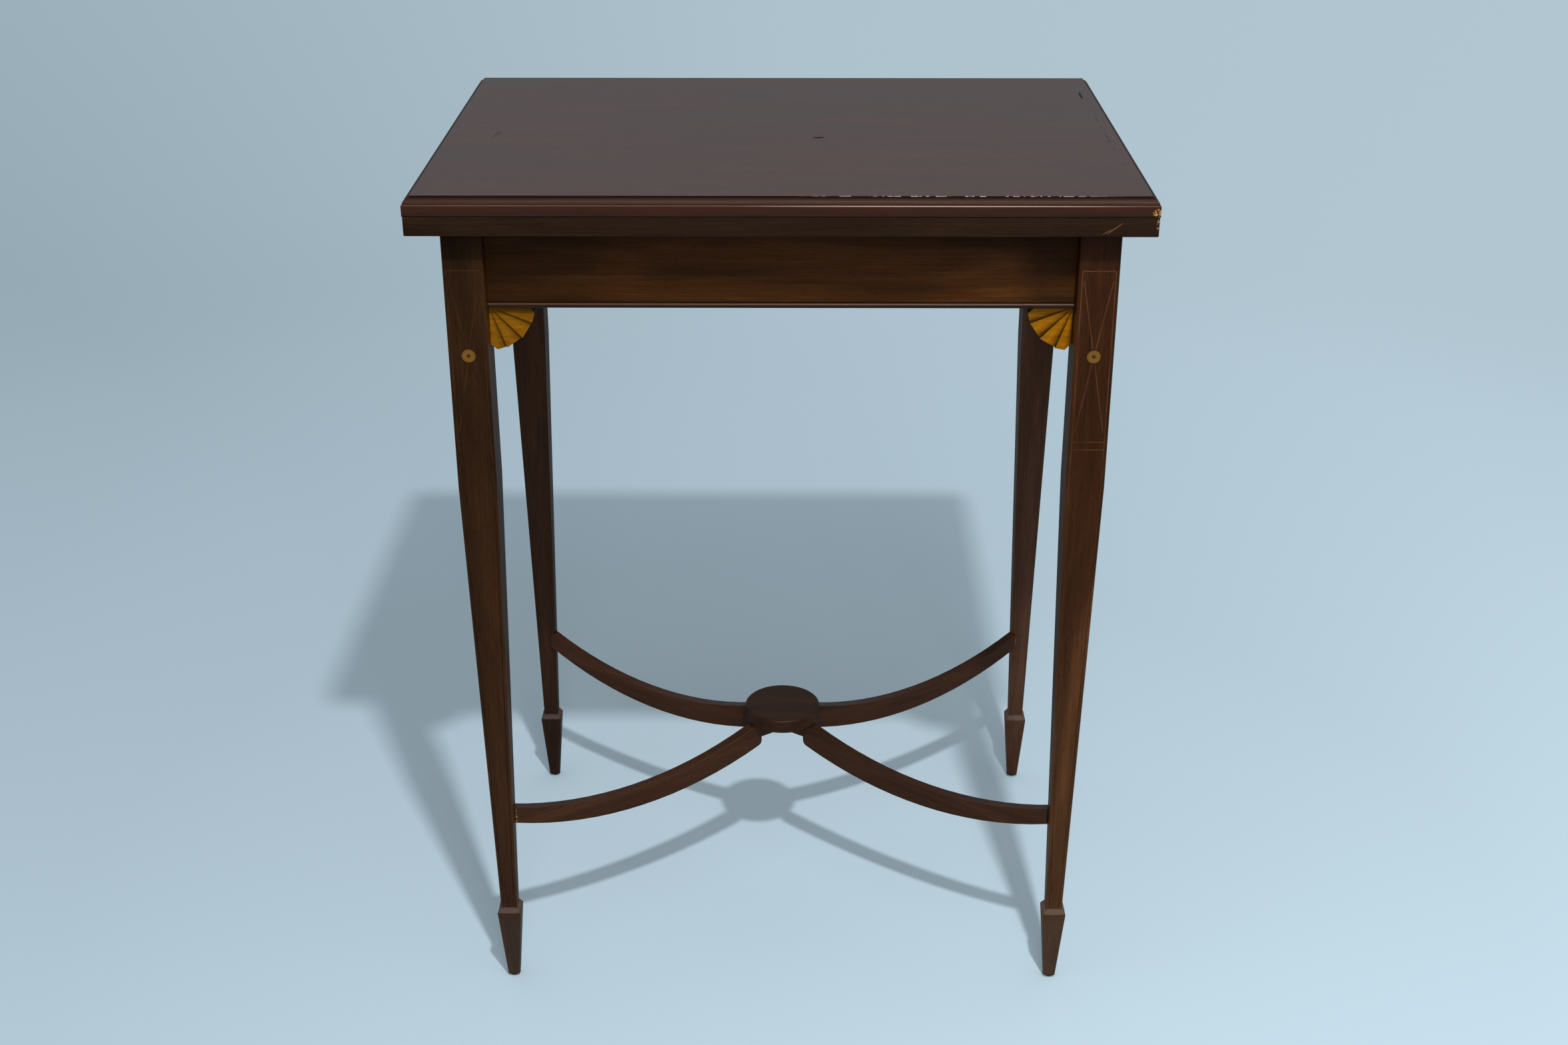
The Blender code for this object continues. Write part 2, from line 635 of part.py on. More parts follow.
def make_glides():
    """Domed metal glides, each on a spike driven up into its foot."""
    dome = (GLIDE_RADIUS ** 2 + GLIDE_HEIGHT ** 2) / (2 * GLIDE_HEIGHT)
    widest = asin(GLIDE_RADIUS / dome)
    profile = [(0.0, GLIDE_HEIGHT + GLIDE_SPIKE_LENGTH), (GLIDE_SPIKE_RADIUS, GLIDE_HEIGHT + GLIDE_SPIKE_LENGTH
                                                          - GLIDE_SPIKE_RADIUS),
               (GLIDE_SPIKE_RADIUS, GLIDE_HEIGHT), (GLIDE_RADIUS, GLIDE_HEIGHT)]
    for step in range(1, GLIDE_DOME_STEPS + 1):
        turn = widest * (1 - step / GLIDE_DOME_STEPS)
        profile.append((dome * sin(turn), dome - dome * cos(turn)))
    for end, sy in ENDS:
        for flank, sx in FLANKS:
            glide = turned(f"foot_glide_{end}_{flank}", profile, SMALL_ROUND_SIDES)
            glide.location = (sx * LEG_AXIS_X, sy * LEG_AXIS_Y, 0)
            add_part(glide, steel)


def make_paterae():
    """Boxwood discs let in flush near the top of the front legs."""
    for flank, sx in FLANKS:
        bm = bmesh.new()
        bmesh.ops.create_cone(bm, cap_ends=True, segments=PATERA_SIDES, radius1=PATERA_RADIUS,
                              radius2=PATERA_RADIUS, depth=PATERA_THICKNESS)
        mesh = mesh_from(bm, "patera")
        add_part(add_object(f"patera_front_{flank}", mesh,
                            (sx * LEG_AXIS_X, -FRAME_HALF_DEPTH + PATERA_THICKNESS / 2, PATERA_HEIGHT),
                            (radians(90), 0, 0)), boxwood)


def recess_baize(leaf, name, surface, side, half_width):
    """A shallow recess with its baize in the playing face of a leaf; side is +1 for a face that looks up."""
    reach_x = half_width - BAIZE_BORDER
    reach_y = HALF_DEPTH - BAIZE_BORDER
    z = sorted((surface - side * BAIZE_RECESS, surface + side * CUT_OVERRUN))
    cut_box(leaf, f"{name}_recess", (-reach_x, -reach_y, z[0]), (reach_x, reach_y, z[1]))
    reach_x -= CLEARANCE
    reach_y -= CLEARANCE
    base = surface - side * (BAIZE_RECESS - CLEARANCE)
    z = sorted((base, base + side * BAIZE_THICKNESS))
    return add_part(box(name, (-reach_x, -reach_y, z[0]), (reach_x, reach_y, z[1])), green_baize)


def make_lower_leaf():
    """Lower leaf with its baize, turning on the pivot bolt."""
    half = HALF_WIDTH - LOWER_LEAF_INSET
    leaf = box("lower_leaf", (-half, -HALF_DEPTH, LOWER_LEAF_BOTTOM), (half, HALF_DEPTH, LOWER_LEAF_TOP))
    rear_top = (HALF_DEPTH, LEAF_THICKNESS / 2)
    round_edges(leaf.data, lambda a, b: at_hinge_edge(a, rear_top) and at_hinge_edge(b, rear_top),
                HINGE_PIN_INSET, OVOLO_STEPS)
    round_edges(leaf.data, lambda a, b: a.z < 0 and b.z < 0, LEAF_ARRIS, 1)
    add_part(leaf, mahogany)
    baize = recess_baize(leaf, "lower_baize", LOWER_LEAF_TOP, 1, half)
    cut_round(leaf, "bolt_flange_recess", BOLT_FLANGE_RADIUS + CLEARANCE,
              2 * (BOLT_FLANGE_THICKNESS + CLEARANCE), (PIVOT_PLACE, PIVOT_PLACE, LOWER_LEAF_BOTTOM))
    return leaf, baize


def at_hinge_edge(point, place):
    """True on the line of a leaf's hinge arris, in the leaf's own coordinates."""
    return abs(point.y - place[0]) < CLEARANCE / 10 and abs(point.z - place[1]) < CLEARANCE / 10


def make_upper_leaf():
    """Upper leaf with a quirked ovolo round its front and sides, and a square rear edge."""
    band_top = TOTAL_HEIGHT - QUIRK_HEIGHT - OVOLO_RADIUS
    insets = [(0.0, UPPER_LEAF_BOTTOM), (0.0, band_top - OVOLO_LEDGE_FALL)]
    centre = (OVOLO_LEDGE + OVOLO_RADIUS, band_top)
    insets += arc(centre, OVOLO_RADIUS, 180, 90, OVOLO_STEPS)
    insets.append((OVOLO_LEDGE + OVOLO_RADIUS, TOTAL_HEIGHT))
    layers = [(-HALF_WIDTH + inset, HALF_WIDTH - inset, -HALF_DEPTH + inset, HALF_DEPTH, height)
              for inset, height in insets]
    leaf = add_object("upper_leaf", layered_mesh("upper_leaf", layers))
    rear_low = (HALF_DEPTH, UPPER_LEAF_BOTTOM)
    round_edges(leaf.data, lambda a, b: at_hinge_edge(a, rear_low) and at_hinge_edge(b, rear_low),
                HINGE_PIN_INSET, OVOLO_STEPS)
    add_part(leaf, mahogany)
    baize = recess_baize(leaf, "upper_baize", UPPER_LEAF_BOTTOM, -1, HALF_WIDTH)
    return leaf, baize


def screw_profile(ease):
    """Half outline of a countersunk screw with its head's face at height 0, eased all round."""
    tail = -SCREW_LENGTH - ease
    return [(0.0, 0.0), (SCREW_HEAD_RADIUS + ease, 0.0), (SCREW_SHANK_RADIUS + ease, -SCREW_HEAD_HEIGHT - ease),
            (SCREW_SHANK_RADIUS + ease, tail + SCREW_POINT_LENGTH), (0.0, tail)]


def screw_cutter(name, location, rotation):
    """The room a screw takes, opened out past its head."""
    profile = screw_profile(CLEARANCE)
    rim = profile[1][0]
    made = turned(name, [(0.0, CUT_OVERRUN), (rim, CUT_OVERRUN)] + profile[1:], SMALL_ROUND_SIDES)
    made.location = location
    made.rotation_euler = rotation
    return add_cutter(made)


def make_hinges(leaves):
    """Card-table hinges: a plate in each leaf and a link on two pins, at both rear corners."""
    moved = {"lower": [], "link": [], "upper": []}
    stadium = HINGE_PIN_INSET - CLEARANCE
    pins = {"lower": LOWER_PIN_Z, "upper": UPPER_PIN_Z}
    link_outer = HALF_WIDTH - LOWER_LEAF_INSET - HINGE_PLATE_THICKNESS - CLEARANCE
    link_inner = link_outer - HINGE_LINK_THICKNESS
    pin_inner = link_inner - HINGE_PIN_TAIL
    hole = HINGE_PIN_RADIUS + CLEARANCE
    for flank, sx in FLANKS:
        for level, outer, surface, up in (("lower", HALF_WIDTH - LOWER_LEAF_INSET, LOWER_LEAF_TOP, 1),
                                          ("upper", HALF_WIDTH, UPPER_LEAF_BOTTOM, -1)):
            leaf = leaves[level]
            pin_z = pins[level]
            front = HALF_DEPTH - HINGE_PLATE_LENGTH
            far = surface - up * HINGE_PLATE_HEIGHT
            x = sorted((sx * (outer - HINGE_PLATE_THICKNESS), sx * outer))
            z = sorted((far, surface))
            plate = box(f"hinge_plate_{level}_{flank}", (x[0], front, z[0]), (x[1], HALF_DEPTH, z[1]))
            corner = (HINGE_PLATE_LENGTH / 2, up * HINGE_PLATE_HEIGHT / 2)
            round_edges(plate.data, lambda a, b: at_hinge_edge(a, corner) and at_hinge_edge(b, corner),
                        HINGE_PIN_INSET, OVOLO_STEPS)
            add_part(plate, brass)
            cut_round(plate, f"{plate.name}_pin_hole", hole, 4 * HINGE_PLATE_THICKNESS,
                      (sx * outer, LOWER_PIN_Y, pin_z), (0, radians(90), 0))
            moved[level].append(plate)
            x = sorted((sx * (outer - HINGE_PLATE_THICKNESS - CLEARANCE), sx * (outer + CUT_OVERRUN)))
            z = sorted((far - up * CLEARANCE, surface + up * CUT_OVERRUN))
            cut_box(leaf, f"{plate.name}_recess", (x[0], front - CLEARANCE, z[0]), (x[1], HALF_DEPTH + CUT_OVERRUN, z[1]))
            x = sorted((sx * (pin_inner - CLEARANCE), sx * outer))
            z = sorted((pin_z - up * (HINGE_PIN_INSET + CLEARANCE), surface + up * CUT_OVERRUN))
            cut_box(leaf, f"{plate.name}_slot", (x[0], LOWER_PIN_Y - HINGE_PIN_INSET - CLEARANCE, z[0]),
                    (x[1], HALF_DEPTH + CUT_OVERRUN, z[1]))
            middle_z = surface - up * HINGE_PLATE_HEIGHT / 2
            for number in range(1, HINGE_SCREW_COUNT + 1):
                along = front + HINGE_SCREW_MARGIN + (number - 1) * HINGE_SCREW_SPACING
                place = (sx * outer, along, middle_z)
                turn = (0, sx * radians(90), 0)
                room = screw_cutter(f"{plate.name}_screw_room_{number}", place, turn)
                combine(leaf, room, "DIFFERENCE")
                combine(plate, room, "DIFFERENCE")
                screw = turned(f"hinge_screw_{level}_{flank}_{number}", screw_profile(0.0), SMALL_ROUND_SIDES)
                screw.location = place
                screw.rotation_euler = turn
                add_part(screw, brass)
                half = SCREW_SLOT_WIDTH / 2
                x = sorted((sx * (outer - SCREW_SLOT_DEPTH), sx * (outer + CUT_OVERRUN)))
                cut_box(screw, f"{screw.name}_slot", (x[0], place[1] - SCREW_HEAD_RADIUS - CUT_OVERRUN, middle_z - half),
                        (x[1], place[1] + SCREW_HEAD_RADIUS + CUT_OVERRUN, middle_z + half))
                moved[level].append(screw)
            length = outer - pin_inner
            bm = bmesh.new()
            bmesh.ops.create_cone(bm, cap_ends=True, segments=SMALL_ROUND_SIDES, radius1=HINGE_PIN_RADIUS,
                                  radius2=HINGE_PIN_RADIUS, depth=length)
            pin = add_object(f"hinge_pin_{level}_{flank}", mesh_from(bm, "pin"),
                             (sx * (outer + pin_inner) / 2, LOWER_PIN_Y, pin_z), (0, radians(90), 0))
            moved["link"].append(add_part(pin, brass))
        outline = arc((LOWER_PIN_Y, LOWER_PIN_Z), stadium, 180, 360, SMALL_ROUND_SIDES // 2)
        outline += arc((LOWER_PIN_Y, UPPER_PIN_Z), stadium, 0, 180, SMALL_ROUND_SIDES // 2)
        holes = [circle((LOWER_PIN_Y, height), hole, SMALL_ROUND_SIDES) for height in pins.values()]
        link = outline_object(f"hinge_link_{flank}", outline, HINGE_LINK_THICKNESS, holes)
        link.location.x = sx * (link_outer + link_inner) / 2
        link.rotation_euler = (radians(90), 0, radians(90))
        moved["link"].append(add_part(link, brass))
    return moved


def make_pivot():
    """Flanged bolt let into the underside of the lower leaf, with a washer and nut under the rail."""
    rail_bottom = FRAME_TOP - PIVOT_RAIL_THICKNESS
    washer_top = rail_bottom - CLEARANCE
    nut_top = washer_top - WASHER_THICKNESS - CLEARANCE
    end = nut_top - NUT_HEIGHT - BOLT_TAIL
    flange_top = LOWER_LEAF_BOTTOM + BOLT_FLANGE_THICKNESS
    bolt = turned("pivot_bolt", [(0.0, flange_top), (BOLT_FLANGE_RADIUS, flange_top),
                                 (BOLT_FLANGE_RADIUS, LOWER_LEAF_BOTTOM), (BOLT_RADIUS, LOWER_LEAF_BOTTOM),
                                 (BOLT_RADIUS, end + BOLT_POINT), (BOLT_RADIUS - BOLT_POINT, end), (0.0, end)],
                  PIVOT_SIDES)
    hole = BOLT_RADIUS + CLEARANCE
    washer = turned("pivot_washer", [(hole, washer_top), (WASHER_RADIUS, washer_top),
                                     (WASHER_RADIUS, washer_top - WASHER_THICKNESS),
                                     (hole, washer_top - WASHER_THICKNESS)], PIVOT_SIDES, closed=True)
    bm = bmesh.new()
    bmesh.ops.create_cone(bm, cap_ends=True, segments=6, radius1=NUT_ACROSS_CORNERS / 2,
                          radius2=NUT_ACROSS_CORNERS / 2, depth=NUT_HEIGHT)
    nut = add_object("pivot_nut", mesh_from(bm, "nut"), (PIVOT_PLACE, PIVOT_PLACE, nut_top - NUT_HEIGHT / 2))
    for piece in (bolt, washer):
        piece.location = (PIVOT_PLACE, PIVOT_PLACE, 0)
    for piece in (bolt, washer, nut):
        add_part(piece, steel)
    cut_round(nut, "pivot_nut_hole", hole, 4 * NUT_HEIGHT, nut.location)
    return [bolt, washer, nut]


def hang_moving_parts(lower, link, upper):
    """Hangs each moving group on the empty of its joint."""
    swivel = joint_axis("top_swivel_axis", (PIVOT_PLACE, PIVOT_PLACE, FRAME_TOP))
    low_fold = joint_axis("link_fold_axis", (0, LOWER_PIN_Y, LOWER_PIN_Z), swivel)
    high_fold = joint_axis("leaf_fold_axis", (0, LOWER_PIN_Y, UPPER_PIN_Z), low_fold)
    for pieces, axis in ((lower, swivel), (link, low_fold), (upper, high_fold)):
        for piece in pieces:
            hang(piece, axis)


def shade_round_pieces():
    """Smooth shading on turned and rounded pieces, with their edges kept sharp."""
    for piece in parts.objects:
        if piece.type == "MESH":
            piece.data.shade_smooth()
            piece.data.set_sharp_from_angle(angle=radians(35))


for old in list(bpy.data.objects):
    bpy.data.objects.remove(old)
parts = new_collection("games_table")
cutters = new_collection("games_table_cutters")
mahogany = new_material("mahogany", (0.085, 0.028, 0.014), 0.30)
satinwood = new_material("satinwood", (0.42, 0.21, 0.035), 0.35)
boxwood = new_material("boxwood", (0.50, 0.33, 0.12), 0.38)
pine = new_material("pine", (0.42, 0.26, 0.12), 0.65)
brass = new_material("brass", (0.62, 0.44, 0.16), 0.35, 1.0)
steel = new_material("steel", (0.42, 0.41, 0.39), 0.40, 1.0)
green_baize = new_material("green_baize", (0.02, 0.13, 0.06), 0.95)

make_legs()
make_frieze()
make_well()
make_fans()
make_stretcher()
make_glides()
make_paterae()
lower_leaf, lower_baize = make_lower_leaf()
upper_leaf, upper_baize = make_upper_leaf()
hinge_pieces = make_hinges({"lower": lower_leaf, "upper": upper_leaf})
pivot_pieces = make_pivot()
hang_moving_parts([lower_leaf, lower_baize] + pivot_pieces + hinge_pieces["lower"], hinge_pieces["link"],
                  [upper_leaf, upper_baize] + hinge_pieces["upper"])
shade_round_pieces()
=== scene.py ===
from math import copysign, radians

import bpy
from mathutils import Matrix, Vector


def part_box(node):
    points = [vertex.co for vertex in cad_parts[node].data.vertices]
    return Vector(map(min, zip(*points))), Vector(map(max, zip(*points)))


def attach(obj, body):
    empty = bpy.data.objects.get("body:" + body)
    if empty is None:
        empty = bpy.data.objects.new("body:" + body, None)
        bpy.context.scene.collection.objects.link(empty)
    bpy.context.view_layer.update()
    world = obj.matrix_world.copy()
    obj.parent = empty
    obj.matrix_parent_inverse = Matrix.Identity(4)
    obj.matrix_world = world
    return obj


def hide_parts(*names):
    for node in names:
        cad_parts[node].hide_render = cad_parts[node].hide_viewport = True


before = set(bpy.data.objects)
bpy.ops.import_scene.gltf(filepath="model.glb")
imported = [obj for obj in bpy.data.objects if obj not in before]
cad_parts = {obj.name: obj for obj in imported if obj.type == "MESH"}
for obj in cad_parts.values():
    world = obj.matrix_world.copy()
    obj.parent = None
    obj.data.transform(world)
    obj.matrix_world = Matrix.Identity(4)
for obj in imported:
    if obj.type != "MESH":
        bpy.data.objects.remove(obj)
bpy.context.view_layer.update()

# Legs. The four corner posts are solid mahogany, sawn square, tapered below the frieze and cut to
# a spade foot. They are French-polished. The front pair grows paler towards the floor and the rear
# pair darker; each top is painted darker under the leaf as painted shade, with painted light just
# under the frieze, the side faces are painted paler as a painted reflection, and the flat chamfer
# over each foot is painted pale as a painted highlight.
LEG_CENTRES = {
    name: (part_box(name)[0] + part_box(name)[1]) / 2
    for name in ("front_left_leg", "front_right_leg", "rear_left_leg", "rear_right_leg")
}
LEG_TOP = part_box("front_left_leg")[1].z
FOOT_MIDDLE = 0.034
CHAMFER_HEIGHT = 0.0752
UPRIGHT = (0.0, radians(90), 0.0)
LEVEL = (0.0, 0.0, 0.0)
# The rear right leg's tones are lighter and greyer than the others', a painted sheen.
LEG_TONES = {
    "front_left_leg": ("#201004", "#2A1606", "#361E0A"),
    "front_right_leg": ("#2A1304", "#391D08", "#4A280D"),
    "rear_left_leg": ("#27150A", "#321C0D", "#3D2413"),
    "rear_right_leg": ("#3C2418", "#482E20", "#54382A"),
}
# How strongly each leg's red, green and blue show near the foot and from mid height up, and how
# much the whole colour is painted lighter just under the frieze, painted light against the leaf's shadow.
LEG_TONE_BY_HEIGHT = {
    "front_left_leg": ((1.74, 1.80, 2.25), (0.73, 0.73, 0.62), 1.4),
    "front_right_leg": ((1.58, 1.96, 2.60), (0.76, 0.72, 0.64), 1.1),
    "rear_left_leg": ((0.78, 0.80, 0.85), (1.02, 1.02, 0.98), 1.0),
    "rear_right_leg": ((0.80, 0.76, 0.66), (0.69, 0.64, 0.50), 1.0),
}


def linear(colour):
    """A colour written in hex, as the shaders want it."""
    parts = [int(colour[index:index + 2], 16) / 255 for index in (1, 3, 5)]
    parts = [part / 12.92 if part <= 0.04045 else ((part + 0.055) / 1.055) ** 2.4 for part in parts]
    return (*parts, 1.0)


def add_node(tree, kind, inputs=None, stops=(), **settings):
    """Adds a node, sets it and links or sets its inputs. Stops are a ramp's positions and colours,
    its two ends first."""
    node = tree.nodes.new(kind)
    for name, value in settings.items():
        setattr(node, name, value)
    for name, value in (inputs or {}).items():
        socket = node.inputs[name]
        if isinstance(value, bpy.types.NodeSocket):
            tree.links.new(value, socket)
        else:
            socket.default_value = value
    for order, (position, colour) in enumerate(stops):
        ramp = node.color_ramp.elements
        stop = ramp[0] if order == 0 else ramp[-1] if order == 1 else ramp.new(position)
        stop.position = position
        stop.color = linear(colour)
    return node


def new_material(name):
    """An empty material with one shader, and its node tree."""
    material = bpy.data.materials.new(name)
    material.use_nodes = True
    tree = material.node_tree
    tree.nodes.clear()
    shader = add_node(tree, "ShaderNodeBsdfPrincipled")
    add_node(tree, "ShaderNodeOutputMaterial", {"Surface": shader.outputs["BSDF"]})
    return material, tree, shader


def opened(material):
    """A finish's node tree, its shader, and what gives the shader its colour."""
    tree = material.node_tree
    shader = next(node for node in tree.nodes if node.type == "BSDF_PRINCIPLED")
    return tree, shader, shader.inputs["Base Color"].links[0].from_socket


def dress(node, material):
    """Gives a node of the frame its finish."""
    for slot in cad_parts[node].material_slots:
        slot.material = material


def polished_mahogany(name, turn, dark, middle, light, roughness=0.36, gloss=0.5, streaks=0.18):
    """French-polished mahogany. The grain runs along the turned X: a slow figure 25 mm across,
    fine stripes 1.5 mm across, and open pores drawn twice as wide as real ones so that they show."""
    material, tree, shader = new_material(name)
    place = add_node(tree, "ShaderNodeTexCoord").outputs["Object"]
    board = add_node(tree, "ShaderNodeMapping", {"Vector": place, "Rotation": turn}).outputs["Vector"]
    slow = add_node(tree, "ShaderNodeMapping", {"Vector": board, "Scale": (4.0, 38.0, 38.0)})
    figure = add_node(tree, "ShaderNodeTexNoise", {"Vector": slow.outputs["Vector"], "Scale": 1.0,
                                                   "Detail": 5.0, "Roughness": 0.55, "Distortion": 0.6})
    fine = add_node(tree, "ShaderNodeMapping", {"Vector": board, "Scale": (14.0, 640.0, 640.0)})
    stripe = add_node(tree, "ShaderNodeTexNoise", {"Vector": fine.outputs["Vector"], "Scale": 1.0,
                                                   "Detail": 3.0, "Roughness": 0.6})
    short = add_node(tree, "ShaderNodeMapping", {"Vector": board, "Scale": (140.0, 2200.0, 2200.0)})
    pore = add_node(tree, "ShaderNodeTexNoise", {"Vector": short.outputs["Vector"], "Scale": 1.0,
                                                 "Detail": 1.0})
    tone = add_node(tree, "ShaderNodeValToRGB", {"Fac": figure.outputs["Fac"]},
                    ((0.30, dark), (0.74, light), (0.52, middle)))
    streak = add_node(tree, "ShaderNodeMapRange", {"Value": stripe.outputs["Fac"], "From Min": 0.34,
                                                   "From Max": 0.68, "To Min": 1.0 - streaks,
                                                   "To Max": 1.0 + streaks})
    hole = add_node(tree, "ShaderNodeMapRange", {"Value": pore.outputs["Fac"], "From Min": 0.60,
                                                 "From Max": 0.70, "To Min": 1.0, "To Max": 0.62})
    shade = add_node(tree, "ShaderNodeMath", {0: streak.outputs["Result"], 1: hole.outputs["Result"]},
                     operation="MULTIPLY")
    colour = add_node(tree, "ShaderNodeVectorMath", {0: tone.outputs["Color"],
                                                     "Scale": shade.outputs["Value"]}, operation="SCALE")
    polish = add_node(tree, "ShaderNodeMapRange", {"Value": figure.outputs["Fac"], "From Min": 0.3,
                                                   "From Max": 0.7, "To Min": roughness - 0.02,
                                                   "To Max": roughness + 0.03})
    bump = add_node(tree, "ShaderNodeBump", {"Height": shade.outputs["Value"], "Strength": 0.12,
                                             "Distance": 0.0003})
    tree.links.new(colour.outputs["Vector"], shader.inputs["Base Color"])
    tree.links.new(polish.outputs["Result"], shader.inputs["Roughness"])
    tree.links.new(bump.outputs["Normal"], shader.inputs["Normal"])
    shader.inputs["Specular IOR Level"].default_value = gloss
    return material


def shade_under_leaf(material, depth, darkest, brightest):
    """Darkens a finish towards the leaf above it, a painted shade under the leaf, but not its top face."""
    tree, shader, before = opened(material)
    place = add_node(tree, "ShaderNodeTexCoord").outputs["Object"]
    height = add_node(tree, "ShaderNodeSeparateXYZ", {"Vector": place}).outputs["Z"]
    painted_leaf_shade = add_node(tree, "ShaderNodeMapRange", {"Value": height, "From Min": LEG_TOP,
                                                  "From Max": LEG_TOP - depth, "To Min": darkest,
                                                  "To Max": brightest})
    normal = add_node(tree, "ShaderNodeNewGeometry").outputs["True Normal"]
    upward = add_node(tree, "ShaderNodeSeparateXYZ", {"Vector": normal}).outputs["Z"]
    kept = add_node(tree, "ShaderNodeMath", {0: painted_leaf_shade.outputs["Result"], 1: upward}, operation="MAXIMUM")
    colour = add_node(tree, "ShaderNodeVectorMath", {0: before, "Scale": kept.outputs["Value"]},
                      operation="SCALE")
    tree.links.new(colour.outputs["Vector"], shader.inputs["Base Color"])


def mark(material, places, colour, blend=1.0, ragged=0.0, dulled=False):
    """Stains a finish inside small ellipsoids, each a centre, half sizes and a turn, such as a
    scratch or a chip. A ragged mark's outline is broken about that many times a metre, and a
    dulled mark has lost its polish."""
    tree, shader, before = opened(material)
    place = add_node(tree, "ShaderNodeTexCoord").outputs["Object"]
    found = 0.0
    for centre, half, turn in places:
        local = add_node(tree, "ShaderNodeMapping", {"Vector": place, "Location": centre, "Rotation": turn,
                                                     "Scale": half}, vector_type="TEXTURE")
        reach = add_node(tree, "ShaderNodeVectorMath", {0: local.outputs["Vector"]}, operation="LENGTH")
        inside = add_node(tree, "ShaderNodeMapRange", {"Value": reach.outputs["Value"], "From Min": 0.7,
                                                       "From Max": 1.0, "To Min": 1.0, "To Max": 0.0})
        widest = add_node(tree, "ShaderNodeMath", {0: inside.outputs["Result"], 1: found},
                          operation="MAXIMUM")
        found = widest.outputs["Value"]
    if ragged:
        torn = add_node(tree, "ShaderNodeTexNoise", {"Vector": place, "Scale": ragged, "Detail": 2.0})
        edge = add_node(tree, "ShaderNodeMapRange", {"Value": torn.outputs["Fac"], "From Min": 0.48,
                                                     "From Max": 0.56})
        broken = add_node(tree, "ShaderNodeMath", {0: found, 1: edge.outputs["Result"]}, operation="MULTIPLY")
        found = broken.outputs["Value"]
    strength = add_node(tree, "ShaderNodeMath", {0: found, 1: blend}, operation="MULTIPLY").outputs["Value"]
    mixed = add_node(tree, "ShaderNodeMix", {"Factor": strength, 6: before, 7: linear(colour)},
                     data_type="RGBA")
    tree.links.new(mixed.outputs[2], shader.inputs["Base Color"])
    if dulled:
        sheen = shader.inputs["Specular IOR Level"]
        clear = add_node(tree, "ShaderNodeMath", {0: 1.0, 1: strength}, operation="SUBTRACT")
        left = add_node(tree, "ShaderNodeMath", {0: clear.outputs["Value"], 1: sheen.links[0].from_socket},
                        operation="MULTIPLY")
        tree.links.new(left.outputs["Value"], sheen)


for leg_name, centre in LEG_CENTRES.items():
    leg_finish = polished_mahogany(f"mahogany_{leg_name}", UPRIGHT, *LEG_TONES[leg_name], 0.38, 0.2)
    tree, shader, before = opened(leg_finish)
    foot_scale, upper_scale, painted_lift_under_frieze = LEG_TONE_BY_HEIGHT[leg_name]
    normal = add_node(tree, "ShaderNodeNewGeometry").outputs["True Normal"]
    sideways = add_node(tree, "ShaderNodeSeparateXYZ", {"Vector": normal}).outputs["X"]
    turned = add_node(tree, "ShaderNodeMath", {0: sideways}, operation="ABSOLUTE")
    # Faces turned to the sides are painted paler, a painted reflection.
    painted_side_reflection = add_node(tree, "ShaderNodeMapRange", {"Value": turned.outputs["Value"], "From Min": 0.6,
                                                     "From Max": 0.9, "To Min": 1.0, "To Max": 1.8})
    place = add_node(tree, "ShaderNodeTexCoord").outputs["Object"]
    height = add_node(tree, "ShaderNodeSeparateXYZ", {"Vector": place}).outputs["Z"]
    up = add_node(tree, "ShaderNodeMapRange", {"Value": height, "From Min": 0.10, "From Max": 0.55})
    height_scale = add_node(tree, "ShaderNodeMix", {"Factor": up.outputs["Result"], 4: foot_scale,
                                              5: upper_scale}, data_type="VECTOR")
    scaled_by_height = add_node(tree, "ShaderNodeVectorMath", {0: before, 1: height_scale.outputs[1]}, operation="MULTIPLY")
    # Paler just under the frieze: painted light against the leaf's shadow.
    lift = add_node(tree, "ShaderNodeMapRange", {"Value": height, "From Min": 0.57, "From Max": 0.65,
                                                 "To Min": 1.0, "To Max": painted_lift_under_frieze})
    paler = add_node(tree, "ShaderNodeMath", {0: painted_side_reflection.outputs["Result"], 1: lift.outputs["Result"]},
                     operation="MULTIPLY")
    colour = add_node(tree, "ShaderNodeVectorMath", {0: scaled_by_height.outputs["Vector"],
                                                     "Scale": paler.outputs["Value"]}, operation="SCALE")
    tree.links.new(colour.outputs["Vector"], shader.inputs["Base Color"])
    shade_under_leaf(leg_finish, 0.036, 0.36, 1.0)
    if leg_name.startswith("front"):
        mark(leg_finish, [((centre.x, centre.y, FOOT_MIDDLE), (0.0240, 0.0240, 0.0520), LEVEL)],
             "#38342F", 0.3)
    # The flat chamfer over each foot is painted pale, a painted highlight.
    mark(leg_finish, [((centre.x, centre.y, CHAMFER_HEIGHT), (0.0200, 0.0200, 0.0030), LEVEL)],
         "#75645C", 0.28)
    dress(leg_name, leg_finish)

# Stringing. Boxwood lines 0.9 mm wide are let into the outward faces of the legs: a border on every
# one, and on the front legs a long cross that meets at the patera, closed by two bars. They stand a
# twelfth of a millimetre proud, and under the old polish they read as thin brown-gold lines.
LEG_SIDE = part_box("front_left_leg")[1].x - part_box("front_left_leg")[0].x
SQUARE_END = 0.497
SHOULDER_TOP = 0.078
ANKLE_SIDE = 0.0142
LINE_WIDTH = 0.0009
LINE_PROUD = 0.00008
LINE_EASE = 0.00003
# Where lines meet, one stands a little prouder than the other, so that no two faces coincide.
CROSS_PROUDER = 1.1
BAR_PROUDER = 1.2
BORDER_INSET = 0.0027
TOP_BAR = 0.679
LOW_BARS = (0.5366, 0.5299)
PATERA_HEIGHT = 0.609
PATERA_CLEAR = 0.0064
CROSS_ENDS = (0.671, 0.5446)
CROSS_SPREAD = 0.0114
LINE_TONES = {"left": ("#271609", "#38210C"), "right": ("#3C210D", "#4E2E15")}


